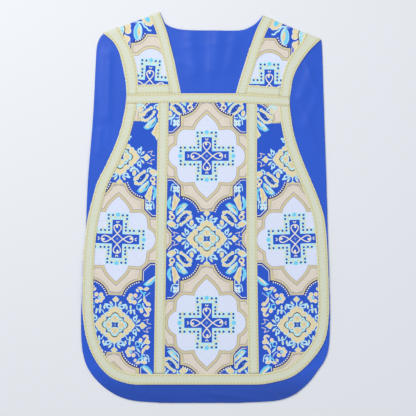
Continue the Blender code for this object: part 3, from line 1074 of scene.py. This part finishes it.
def shade_by(tree, colour, amount, low, high):
    """The colour socket multiplied by a grey that runs from low to high with amount."""
    grey = cloth_node(tree, "MapRange", {"To Min": low, "To Max": high})
    tree.links.new(amount, grey.inputs["Value"])
    mix = cloth_node(tree, "Mix", data_type="RGBA", blend_type="MULTIPLY")
    mix.inputs["Factor"].default_value = 1.0
    tree.links.new(colour, mix.inputs[6])
    tree.links.new(grey.outputs[0], mix.inputs[7])
    return mix.outputs[2]


def brocade_material(sizes):
    material, tree, shader, coordinates = new_material("figured_brocade")
    dye = cloth_node(tree, "Attribute", attribute_name="dye")
    threads = woven_height(tree, coordinates.outputs["Object"], sizes.weave)
    slub = cloth_node(tree, "TexNoise", {"Scale": 320.0, "Detail": 2.0})
    tree.links.new(coordinates.outputs["Object"], slub.inputs["Vector"])
    colour = shade_by(tree, dye.outputs["Color"], threads, 0.94, 1.03)
    colour = shade_by(tree, colour, slub.outputs["Fac"], 0.86, 1.12)
    tree.links.new(colour, shader.inputs["Base Color"])
    gloss = cloth_node(tree, "MapRange", {"To Min": 0.62, "To Max": 0.42})
    tree.links.new(dye.outputs["Alpha"], gloss.inputs["Value"])
    tree.links.new(gloss.outputs[0], shader.inputs["Roughness"])
    gilt = cloth_node(tree, "Math", operation="MULTIPLY")
    gilt.inputs[1].default_value = 0.3
    tree.links.new(dye.outputs["Alpha"], gilt.inputs[0])
    tree.links.new(gilt.outputs[0], shader.inputs["Metallic"])
    bump = cloth_node(tree, "Bump", {"Strength": 0.35, "Distance": 0.0002})
    tree.links.new(threads, bump.inputs["Height"])
    tree.links.new(bump.outputs[0], shader.inputs["Normal"])
    shader.inputs["Specular IOR Level"].default_value = 0.3
    shader.inputs["Sheen Weight"].default_value = 0.08
    shader.inputs["Sheen Roughness"].default_value = 0.4
    return material


# Painted shade on the lining: its colour darkens between these two heights in the plan, where the satin turns from the
# light, and is this much darker below.
HEM_PAINTED_SHADE = (-505.0, -440.0, 0.68)


def lining_material(sizes, dyes):
    material, tree, shader, coordinates = new_material("lining_satin")
    place = coordinates.outputs["Object"]
    shade = cloth_node(tree, "TexNoise", {"Scale": 9.0, "Detail": 3.0})
    tree.links.new(place, shade.inputs["Vector"])
    plain = cloth_node(tree, "RGB")
    plain.outputs[0].default_value = (*dyes.lining, 1.0)
    colour = shade_by(tree, plain.outputs[0], shade.outputs["Fac"], 0.9, 1.1)
    threads = woven_height(tree, place, sizes.weave * 0.6)
    colour = shade_by(tree, colour, threads, 0.97, 1.02)
    # painted shade: the lining's colour runs darker towards the hem
    split = cloth_node(tree, "SeparateXYZ")
    tree.links.new(place, split.inputs[0])
    hem = cloth_node(tree, "MapRange", {"From Min": HEM_PAINTED_SHADE[0] * MM, "From Max": HEM_PAINTED_SHADE[1] * MM})
    tree.links.new(split.outputs["Y"], hem.inputs["Value"])
    colour = shade_by(tree, colour, hem.outputs[0], HEM_PAINTED_SHADE[2], 1.0)
    tree.links.new(colour, shader.inputs["Base Color"])
    bump = cloth_node(tree, "Bump", {"Strength": 0.15, "Distance": 0.0001})
    tree.links.new(threads, bump.inputs["Height"])
    tree.links.new(bump.outputs[0], shader.inputs["Normal"])
    shader.inputs["Roughness"].default_value = 0.45
    shader.inputs["Specular IOR Level"].default_value = 0.35
    shader.inputs["Sheen Weight"].default_value = 0.15
    return material


def braid_material(dyes):
    """Woven braid: zigzag middle and dotted gold lines, along the strip's own map."""
    material, tree, shader, coordinates = new_material("gold_braid")
    split = cloth_node(tree, "SeparateXYZ")
    tree.links.new(coordinates.outputs["UV"], split.inputs[0])
    along, across = split.outputs["X"], split.outputs["Y"]

    def math(operation, a, b=None, c=None):
        node = cloth_node(tree, "Math", operation=operation)
        for socket, value in zip(node.inputs, (a, b, c)):
            if value is None:
                continue
            if isinstance(value, (int, float)):
                socket.default_value = value
            else:
                tree.links.new(value, socket)
        return node.outputs[0]

    # across runs from -0.5 to 0.5 of the width, along is in metres
    from_middle = math("ABSOLUTE", across)
    side_row = math("MULTIPLY", math("SUBTRACT", from_middle, 0.37), 18.0)
    beat = math("MULTIPLY", math("SUBTRACT", math("FRACT", math("DIVIDE", along, 0.0098)), 0.5), 3.4)
    dash = math("LESS_THAN", math("ADD", math("POWER", side_row, 2.0), math("POWER", beat, 2.0)), 1.0)
    rim = math("GREATER_THAN", from_middle, 0.452)
    flank = math("SMOOTH_MIN", math("MULTIPLY", math("SUBTRACT", from_middle, 0.2), 12.0), 1.0, 0.2)
    slant = math("PINGPONG", math("DIVIDE", along, 0.0075), 0.5)
    rising = math("PINGPONG", math("ADD", math("MULTIPLY", across, 4.0), slant), 0.25)
    falling = math("PINGPONG", math("SUBTRACT", math("MULTIPLY", across, 4.0), slant), 0.25)
    basket = math("MULTIPLY", math("MULTIPLY", rising, falling), 16.0)
    fleck = cloth_node(tree, "TexNoise", {"Scale": 330.0, "Detail": 2.0})
    tree.links.new(coordinates.outputs["Object"], fleck.inputs["Vector"])
    fleck_share = math("SMOOTH_MIN", math("MULTIPLY", math("SUBTRACT", fleck.outputs["Fac"], 0.42), 2.4), 0.7, 0.1)
    plain = cloth_node(tree, "RGB")
    plain.outputs[0].default_value = (*dyes.braid, 1.0)
    colour = shade_by(tree, plain.outputs[0], basket, 0.86, 1.06)
    gold_share = math("MAXIMUM", math("MULTIPLY", fleck_share, 0.5), math("MULTIPLY", flank, 0.34))
    gold_share = math("MAXIMUM", math("MULTIPLY", dash, 0.9), math("MAXIMUM", gold_share, 0.0))
    for share, dye in ((gold_share, dyes.braid_gold), (math("MULTIPLY", rim, 0.8), dyes.braid_rim)):
        mix = cloth_node(tree, "Mix", data_type="RGBA")
        tree.links.new(share, mix.inputs["Factor"])
        tree.links.new(colour, mix.inputs[6])
        mix.inputs[7].default_value = (*dye, 1.0)
        colour = mix.outputs[2]
    tree.links.new(colour, shader.inputs["Base Color"])
    bump = cloth_node(tree, "Bump", {"Strength": 0.5, "Distance": 0.0004})
    tree.links.new(math("MAXIMUM", basket, math("MULTIPLY", dash, 0.8)), bump.inputs["Height"])
    tree.links.new(bump.outputs[0], shader.inputs["Normal"])
    shader.inputs["Roughness"].default_value = 0.5
    shader.inputs["Specular IOR Level"].default_value = 0.4
    return material


def declare(outline):
    """Works out a cloth's flat area from its outline, and keeps nothing of it."""
    abs(plan_area(outline)) * MM * MM


def back_outline(inset):
    stations = smooth_rows(BACK_STATIONS, 6)
    left = [(lx, ly) for lx, ly, rx, ry in stations]
    right = [(rx, ry) for lx, ly, rx, ry in stations]
    for side, strap, corner in ((left, STRAPS["left"], 0), (right, STRAPS["right"], 0)):
        _, (nx, ny) = fold_frame(strap)
        side[corner] = (side[corner][0] - nx * inset, side[corner][1] - ny * inset)
    neck = smooth_rows(NECKLINE, 4)
    neck[0] = tuple(a - b * inset for a, b in zip(neck[0], fold_frame(STRAPS["left"])[1]))
    neck[-1] = tuple(a - b * inset for a, b in zip(neck[-1], fold_frame(STRAPS["right"])[1]))
    return left + right[::-1] + neck[::-1]


def front_outline():
    stations = smooth_rows(FRONT_STATIONS, 6)
    left = [(lx, ly) for lx, ly, rx, ry in stations]
    right = [(rx, ry) for lx, ly, rx, ry in stations]
    seam = resampled(CHEST_SEAM, 30)[1:-1]
    return left + right[::-1] + [(x, y - SEAM_GAP) for x, y in seam[::-1]]


def pillar_x(side, y):
    """The middle of an upright braid at a height in the plan."""
    head, foot = CHEST_SEAM[1][1], FRONT_STATIONS[-1][1]
    top, waist, hem = PILLARS[side]
    return catmull_rom(((top,), (waist,), (hem,)), 2 * (head - y) / (head - foot))[0]


def front_columns():
    """The front's outline parted along the middles of the upright braids: middle, left, right."""
    stations = smooth_rows(FRONT_STATIONS, 6)
    left = [(lx, ly) for lx, ly, rx, ry in stations]
    right = [(rx, ry) for lx, ly, rx, ry in stations]
    seam = [(x, y - SEAM_GAP) for x, y in resampled(CHEST_SEAM, 30)[1:-1]]
    hem = resampled([left[-1], right[-1]], 40)[1:-1]
    ends = []
    for side in ("left", "right"):
        top = min(seam, key=lambda p: abs(p[0] - pillar_x(side, p[1])))
        foot = min(hem, key=lambda p: abs(p[0] - pillar_x(side, p[1])))
        steps = [foot[1] + (top[1] - foot[1]) * i / 24 for i in range(1, 24)]
        ends.append([foot] + [(pillar_x(side, y), y) for y in steps] + [top])
    (left_foot, left_top), (right_foot, right_top) = ((path[0], path[-1]) for path in ends)
    middle = [p for p in hem if left_foot[0] < p[0] < right_foot[0]]
    middle = middle + ends[1] + [p for p in seam[::-1] if left_top[0] < p[0] < right_top[0]] + ends[0][::-1]
    west = left + [p for p in hem if p[0] < left_foot[0]] + ends[0] + [p for p in seam[::-1] if p[0] < left_top[0]]
    east = [p for p in hem if p[0] > right_foot[0]] + right[::-1]
    east = east + [p for p in seam[::-1] if p[0] > right_top[0]] + ends[1][::-1]
    return middle, west, east


def strap_rails(strap, layers, steps=4):
    """The strap's two sides as flat paths, carried on past the fold by its turned length."""
    _, (nx, ny) = fold_frame(strap)
    rows = smooth_rows(strap, steps)
    left = [(a, b) for a, b, c, d in rows]
    right = [(c, d) for a, b, c, d in rows]
    extra = layers.fold_radius * (pi / 2 - 1)
    for side in (left, right):
        x, y = side[-1]
        side += [(x + nx * extra * k / 3, y + ny * extra * k / 3) for k in (1, 2, 3)]
    return left, right


def turned_rows(strap, layers, rows=7, spans=48):
    """Flat points in rows across the part of a strap that turns down."""
    _, (nx, ny) = fold_frame(strap)
    x0, y0, x1, y1 = strap[-1]
    points = []
    for k in range(rows):
        off = layers.fold_radius * (pi / 2 * k / rows - 1)
        row = resampled([(x0 + nx * off, y0 + ny * off), (x1 + nx * off, y1 + ny * off)], spans)
        points += row[1:-1]
    return points


STRAP_CROSS = {"left": (-154, 335.2, -4.0), "right": (174.8, 324.6, -0.6)}
STRAP_SCALE = (0.95, 1.05)


def strap_drawing():
    """What shows above the cross on the right strap, drawn about the cross's middle."""
    shapes = [
        ("pale", oval(41.5, 144, 12, 23.5, 0, 20)),
        ("cyan", leaf(45, 121, 44, 167, 17, 0.02)),
        ("cyan", leaf(39, 122, 44, 167, 12, -0.1)),
        ("cream", leaf(37, 128, 41, 161, 9.5)),
        ("peach", leaf(37, 134, 39.5, 152, 4)),
        ("pale", ribbon([(5, 150), (13, 150), (18, 156.5), (25, 160), (29, 167), (36, 173)], 4.4)),
        ("pale", ribbon([(35, 172), (42, 169), (44, 165)], 3.6)),
        ("pale", ribbon([(36, 172), (45, 171.5), (53, 176), (62, 180)], 3.6)),
        ("lilac", ribbon([(42, 168), (50, 168), (56, 171)], 2.0)),
        ("navy", ribbon([(33, 178), (40, 179), (48, 183)], 3.4)),
    ]
    lobes = [(4, 175, 6.5), (10, 169, 6.2), (18, 170, 6), (25, 176, 6), (28, 184, 7), (2, 184, 8), (9, 192, 11)]
    shapes += edged(beads_of("cream", lobes + [(24, 190, 12)]), 1.4, "white")
    shapes += specks((4, 173), (11, 168), (24, 175), (28, 183), (3, 182), (7, 179))
    shapes += [("cyan", oval(18, 181, 6.6, 9.8, -35)), ("dot", disc(4, 193, 2.4, 7))]
    scallops = [(71, 158, 8), (76, 170, 11), (69, 145, 8), (77, 150, 8), (70, 122, 8), (76, 112, 9), (80, 126, 8)]
    shapes += edged(beads_of("cream", scallops), 1.4, "white")
    shapes += specks((70, 158), (74, 165), (69, 146), (75, 152), (71, 121), (77, 126), (76, 141), (78, 133))
    line = [(79, 104), (78, 118), (81, 128), (79, 140), (77.5, 150), (81, 158), (79, 170), (80, 184)]
    shapes += [("pale", [(x + 2, y) for x, y in line] + [(98, 184), (98, 104)]), ("brown", ribbon(line, 2.6))]
    for row in range(8):
        shapes.append(("cyan", oval(84.5 + 1.5 * (row % 2), 108 + 9 * row, 2.4, 3.0, 0, 6)))
        shapes.append(("peach", disc(91, 112 + 9 * row, 2.2, 6)))
    return shapes


def strap_figure(side):
    x, y, turn = STRAP_CROSS[side]
    wide, tall = STRAP_SCALE
    upper, lower = strap_drawing(), flipped(medallion(True), wide, tall)
    if side == "left":
        upper = flipped(upper, -1, 1)
    return shifted(upper + lower, x, y, turn)


# Height across a braid from edge to edge: share of the width, share of the relief.
BRAID_PROFILE = ((0, 0), (0.04, 0.7), (0.1, 0.8), (0.15, 1), (0.21, 0.8), (0.35, 0.62), (0.5, 0.7))
BRAID_RELIEF = 0.35


def braid_strip(name, rails, place, lift, step):
    """A strip between two paths, its surface raised along both edges."""
    profile = BRAID_PROFILE + tuple((1 - t, h) for t, h in BRAID_PROFILE[-2::-1])
    lengths = [path_lengths(rail)[-1] for rail in rails]
    spans = max(int(max(lengths) / step), 2)
    left, right = (resampled(rail, spans) for rail in rails)
    middle = path_lengths([blend(a, b, 0.5) for a, b in zip(left, right)])
    bm = bmesh.new()
    bmesh.ops.create_grid(bm, x_segments=len(profile) - 1, y_segments=spans, size=1.0)
    cells = {}
    for vert in bm.verts:
        column = round((vert.co.x + 1) / 2 * (len(profile) - 1))
        row = round((vert.co.y + 1) / 2 * spans)
        share, height = profile[column]
        x, y = blend(left[row], right[row], share)
        vert.co = Vector(place(x, y, lift + BRAID_RELIEF * (height - 1))) * MM
        cells[vert.index] = (middle[row] * MM, share - 0.5)
    layer = bm.loops.layers.uv.new("UVMap")
    for face in bm.faces:
        for loop in face.loops:
            loop[layer].uv = cells[loop.vert.index]
    mesh = bpy.data.meshes.new(name)
    bm.to_mesh(mesh)
    bm.free()
    mesh.shade_smooth()
    return mesh


def inward(path, distance):
    """A path moved to the left of its direction, its ends kept level."""
    moved = []
    for i, (x, y) in enumerate(path):
        x0, y0 = path[max(i - 1, 0)]
        x1, y1 = path[min(i + 1, len(path) - 1)]
        length = hypot(x1 - x0, y1 - y0)
        moved.append((x - (y1 - y0) / length * distance, y + (x1 - x0) / length * distance))
    moved[0] = (moved[0][0], path[0][1])
    moved[-1] = (moved[-1][0], path[-1][1])
    return moved


def front_edge_path(chest_braid):
    stations = smooth_rows(FRONT_STATIONS, 6)
    drop = BRAID_INSET + chest_braid + SEAM_GAP
    first = FRONT_STATIONS[0]
    starts = first[1] - drop, first[3] - drop
    left = [(lx, ly) for lx, ly, rx, ry in stations if ly < starts[0] - 5]
    right = [(rx, ry) for lx, ly, rx, ry in stations if ry < starts[1] - 5]
    hem = [blend(left[-1], right[-1], i / 20) for i in range(1, 20)]
    left.insert(0, (first[0] - 2.5, starts[0]))
    right.insert(0, (first[2] + 0.3, starts[1]))
    return left + hem + right[::-1]


def chest_y(x):
    for (x0, y0), (x1, y1) in zip(CHEST_SEAM, CHEST_SEAM[1:]):
        if x <= x1:
            return y0 + (y1 - y0) * (x - x0) / (x1 - x0)
    return CHEST_SEAM[-1][1]


def strap_band(rails, near, far):
    """Two paths on a strap, row by row at distances from its left and from its right side."""
    bands = ([], [])
    for a, b, left, right in zip(*rails, near, far):
        width = hypot(b[0] - a[0], b[1] - a[1])
        bands[0].append(blend(a, b, left / width))
        bands[1].append(blend(a, b, 1 - right / width))
    return bands


# How much wider than the neck side's the armhole side's braid lies at each station of a strap.
ARMHOLE_SPREAD = {
    "left": (1.0, 4.0, 6.5, 8.0, 7.5, 5.5, 5.0, 19.0),
    "right": (0.0, 0.0, 1.0, 3.5, 8.5, 9.5, 10.0, 19.0),
}


def armhole_spread(side, s):
    """The braid's widening at a station, the same past the fold as at it."""
    table = ARMHOLE_SPREAD[side]
    s = min(s, len(table) - 1)
    i = min(int(s), len(table) - 2)
    return table[i] + (table[i + 1] - table[i]) * (s - i)


class CHASUBLE_OT_back(bpy.types.Operator):
    """Cuts the back of figured brocade, face down, and its satin lining"""

    bl_idname = "chasuble.back"
    bl_label = "Back and lining"

    def execute(self, context):
        sizes, dyes = context.scene.chasuble_sizes, context.scene.chasuble_dyes
        layers = Layers(sizes)
        outline = back_outline(BACK_FOLD_INSET)
        low, high = (-345, -540), (345, 540)
        columns = [(outline, figured_ground(low, high))]
        mesh, tops = cut_cloth("back_brocade", columns, lambda x, y: (x, y, 0.0), 40.0, True)
        dye_faces(mesh, tops, dyes)
        back = new_piece("back_brocade", mesh, [bpy.data.materials["figured_brocade"]], ["back_panel"])
        thicken(back, layers.panel)
        declare(outline)
        outline = back_outline(LINING_FOLD_INSET)
        mesh, _ = cut_cloth("lining_satin", [(outline, [])], lie_on_lining(layers), 5.0)
        lining = new_piece("lining_satin", mesh, [bpy.data.materials["lining_satin"]], ["back_lining"])
        thicken(lining, layers.lining)
        declare(outline)
        return {"FINISHED"}


class CHASUBLE_OT_front(bpy.types.Operator):
    """Cuts the fiddle-shaped front of figured brocade"""

    bl_idname = "chasuble.front"
    bl_label = "Front"

    def execute(self, context):
        sizes, dyes = context.scene.chasuble_sizes, context.scene.chasuble_dyes
        layers = Layers(sizes)
        outline = front_outline()
        columns = list(zip(front_columns(), front_figures()))
        mesh, tops = cut_cloth("front_brocade", columns, lie_on_front(layers), 16.0)
        dye_faces(mesh, tops, dyes)
        front = new_piece("front_brocade", mesh, [bpy.data.materials["figured_brocade"]], ["front_panel"])
        thicken(front, layers.panel)
        declare(outline)
        return {"FINISHED"}


class CHASUBLE_OT_straps(bpy.types.Operator):
    """Cuts the two shoulder straps and folds them over at the shoulders"""

    bl_idname = "chasuble.straps"
    bl_label = "Straps"

    def execute(self, context):
        sizes, dyes = context.scene.chasuble_sizes, context.scene.chasuble_dyes
        layers = Layers(sizes)
        for side, strap in STRAPS.items():
            left, right = strap_rails(strap, layers)
            low_end = resampled([left[0], right[0]], 8)[1:-1]
            fold = resampled([left[-1], right[-1]], 16)[1:-1]
            outline = low_end + right + fold[::-1] + left[::-1]
            name = f"strap_{side}_brocade"
            place, seeds = lie_on_strap(layers, strap), turned_rows(strap, layers)
            mesh, tops = cut_cloth(name, [(outline, strap_figure(side))], place, 8.0, seeds=seeds)
            dye_faces(mesh, tops, dyes)
            piece = new_piece(
                name, mesh, [bpy.data.materials["figured_brocade"]], ["strap_" + side]
            )
            thicken(piece, layers.panel)
            declare(outline)
        return {"FINISHED"}


class CHASUBLE_OT_braids(bpy.types.Operator):
    """Lays the woven braid round the front, across the chest, down the front and on the straps"""

    bl_idname = "chasuble.braids"
    bl_label = "Braids"

    def lay(self, name, node, rails, place, layers, rests_on, held="laid", step=5.0):
        mesh = braid_strip(name, rails, place, layers.braid_lift, step)
        piece = new_piece(name, mesh, [bpy.data.materials["gold_braid"]], [node])
        thicken(piece, layers.braid * 0.6)
        left, right = rails
        length = (path_lengths(left)[-1] + path_lengths(right)[-1]) / 2

    def execute(self, context):
        layers = Layers(context.scene.chasuble_sizes)
        sizes = context.scene.chasuble_sizes
        edge, chest, strap_width = (v / MM for v in (sizes.edge_braid, sizes.chest_braid, sizes.strap_braid))
        on_front = lie_on_front(layers)
        path = resampled(front_edge_path(chest), 240)
        rails = inward(path, BRAID_INSET + edge)[::-1], inward(path, BRAID_INSET)[::-1]
        self.lay("edge_braid", "braid_front_edge", rails, on_front, layers, "front_brocade")
        seam = resampled(CHEST_SEAM, 60)
        upper = [(x, y - SEAM_GAP) for x, y in seam]
        lower = [(x, y - BRAID_INSET - chest) for x, y in seam]
        for line in (upper, lower):
            line[0] = (line[0][0] + BRAID_INSET, line[0][1])
            line[-1] = (line[-1][0] - BRAID_INSET, line[-1][1])
        self.lay("chest_braid", "braid_chest", (upper[::1], lower[::1]), on_front, layers, "front_brocade")
        foot = FRONT_STATIONS[-1][1] + BRAID_INSET + edge + PILLAR_FOOT_GAP
        for side, (top, waist, hem) in PILLARS.items():
            left, right = [], []
            for rail, offset in ((left, -edge / 2), (right, edge / 2)):
                head = chest_y(top + offset) - BRAID_INSET - chest - SEAM_GAP
                for i in range(41):
                    y = foot + (head - foot) * i / 40
                    s = 2 * (head - y) / (head - foot)
                    rail.append((catmull_rom(((top,), (waist,), (hem,)), s)[0] + offset, y))
            self.lay("pillar_braid_" + side, "braid_pillar_" + side, (left, right), on_front, layers, "front_brocade")
        for side, strap in STRAPS.items():
            place = lie_on_strap(layers, strap)
            rails = strap_rails(strap, layers, 6)
            rests = f"strap_{side}_brocade"
            names = ("armhole", "neck") if side == "left" else ("neck", "armhole")
            rows = [pair for pair in zip(*rails)]
            rails = [r[0] for r in rows], [r[1] for r in rows]
            widths = [hypot(b[0] - a[0], b[1] - a[1]) for a, b in rows]
            near = [BRAID_INSET] * len(rows)
            spread = [armhole_spread(side, i / 6) for i in range(len(rows))]
            extra = {"armhole": spread, "neck": [0.0] * len(rows)}
            left, right = ([BRAID_INSET + strap_width + e for e in extra[name]] for name in names)
            bands = (
                (near, [width - far for width, far in zip(widths, left)]),
                ([width - far for width, far in zip(widths, right)], near),
            )
            for kind, band in zip(names, bands):
                self.lay(
                    f"{kind}_braid_{side}",
                    f"braid_{kind}_{side}",
                    strap_band(rails, *band),
                    place,
                    layers,
                    rests,
                    "folded",
                    3.0,
                )
            inner = strap_band(rails, *([far + 0.5 * SEAM_GAP for far in fars] for fars in (left, right)))
            last = int(STRAP_END_STATION * 6) + 1
            ends = [resampled([inner[0][k], inner[1][k]], 30) for k in (last - 1, 0)]
            self.lay(f"strap_end_braid_{side}", f"braid_strap_end_{side}", ends, place, layers, rests)
        return {"FINISHED"}


def area_light(name, place, size, energy, colour):
    data = bpy.data.lights.new(name, "AREA")
    data.size = size
    data.energy = energy
    data.color = colour
    light = bpy.data.objects.new(name, data)
    light.location = place
    light.rotation_euler = (-Vector(place)).to_track_quat("-Z", "Y").to_euler()
    bpy.context.scene.collection.objects.link(light)


# The photo's frame: its width at the cloth in metres and the point under its middle.
PICTURE_WIDTH = 1.144
PICTURE_MIDDLE = (0.0069, -0.0018)
CAMERA_HEIGHT = 2.6


class CHASUBLE_OT_stage(bpy.types.Operator):
    """Lays the pale floor, hangs the soft lights and sets the camera straight above"""

    bl_idname = "chasuble.stage"
    bl_label = "Stage"

    def execute(self, context):
        scene = context.scene
        bm = bmesh.new()
        bmesh.ops.create_grid(bm, x_segments=1, y_segments=1, size=6.0)
        bmesh.ops.translate(bm, verts=bm.verts, vec=(0, 0, -0.0005))
        mesh = bpy.data.meshes.new("studio_floor")
        bm.to_mesh(mesh)
        bm.free()
        floor_piece = bpy.data.objects.new("studio_floor", mesh)
        scene.collection.objects.link(floor_piece)
        material, tree, shader, _ = new_material("floor_paper")
        shader.inputs["Base Color"].default_value = (*scene.chasuble_dyes.floor, 1.0)
        shader.inputs["Roughness"].default_value = 0.9
        mesh.materials.append(material)
        area_light("key_light", (-1.6, 2.1, 3.0), 1.4, 86.0, (1.0, 0.99, 0.97))
        area_light("fill_light", (1.6, -1.2, 2.6), 2.6, 14.0, (0.96, 0.98, 1.0))
        world = bpy.data.worlds.new("pale_room")
        world.use_nodes = True
        world.node_tree.nodes["Background"].inputs["Color"].default_value = (0.92, 0.95, 1.0, 1.0)
        world.node_tree.nodes["Background"].inputs["Strength"].default_value = 0.53
        scene.world = world
        camera = bpy.data.cameras.new("overhead")
        camera.sensor_width = 36.0
        camera.lens = camera.sensor_width * CAMERA_HEIGHT / PICTURE_WIDTH
        eye = bpy.data.objects.new("overhead", camera)
        eye.location = (*PICTURE_MIDDLE, CAMERA_HEIGHT)
        scene.collection.objects.link(eye)
        scene.camera = eye
        scene.view_settings.view_transform = "Standard"
        return {"FINISHED"}


class CHASUBLE_PT_panel(bpy.types.Panel):
    """Lists the pieces in the order in which they are made"""

    bl_idname = "CHASUBLE_PT_panel"
    bl_label = "Laid chasuble"
    bl_space_type = "VIEW_3D"
    bl_region_type = "UI"
    bl_category = "Chasuble"

    def draw(self, context):
        for operator in PIECE_OPERATORS:
            self.layout.operator(operator.bl_idname)
        for group in (context.scene.chasuble_sizes, context.scene.chasuble_dyes):
            for name in group.__annotations__:
                self.layout.prop(group, name)


PIECE_OPERATORS = (
    CHASUBLE_OT_stage,
    CHASUBLE_OT_back,
    CHASUBLE_OT_front,
    CHASUBLE_OT_straps,
    CHASUBLE_OT_braids,
)
CLASSES = (ChasubleDyes, ChasubleSizes, CHASUBLE_PT_panel) + PIECE_OPERATORS


def register():
    for cls in CLASSES:
        bpy.utils.register_class(cls)
    bpy.types.Scene.chasuble_dyes = PointerProperty(type=ChasubleDyes)
    bpy.types.Scene.chasuble_sizes = PointerProperty(type=ChasubleSizes)


def unregister():
    del bpy.types.Scene.chasuble_dyes
    del bpy.types.Scene.chasuble_sizes
    for cls in reversed(CLASSES):
        bpy.utils.unregister_class(cls)


def main():
    register()
    sizes, dyes = bpy.context.scene.chasuble_sizes, bpy.context.scene.chasuble_dyes
    brocade_material(sizes)
    lining_material(sizes, dyes)
    braid_material(dyes)
    bpy.ops.chasuble.stage()
    bpy.ops.chasuble.back()
    bpy.ops.chasuble.front()
    bpy.ops.chasuble.straps()
    bpy.ops.chasuble.braids()


if __name__ == "__main__":
    main()
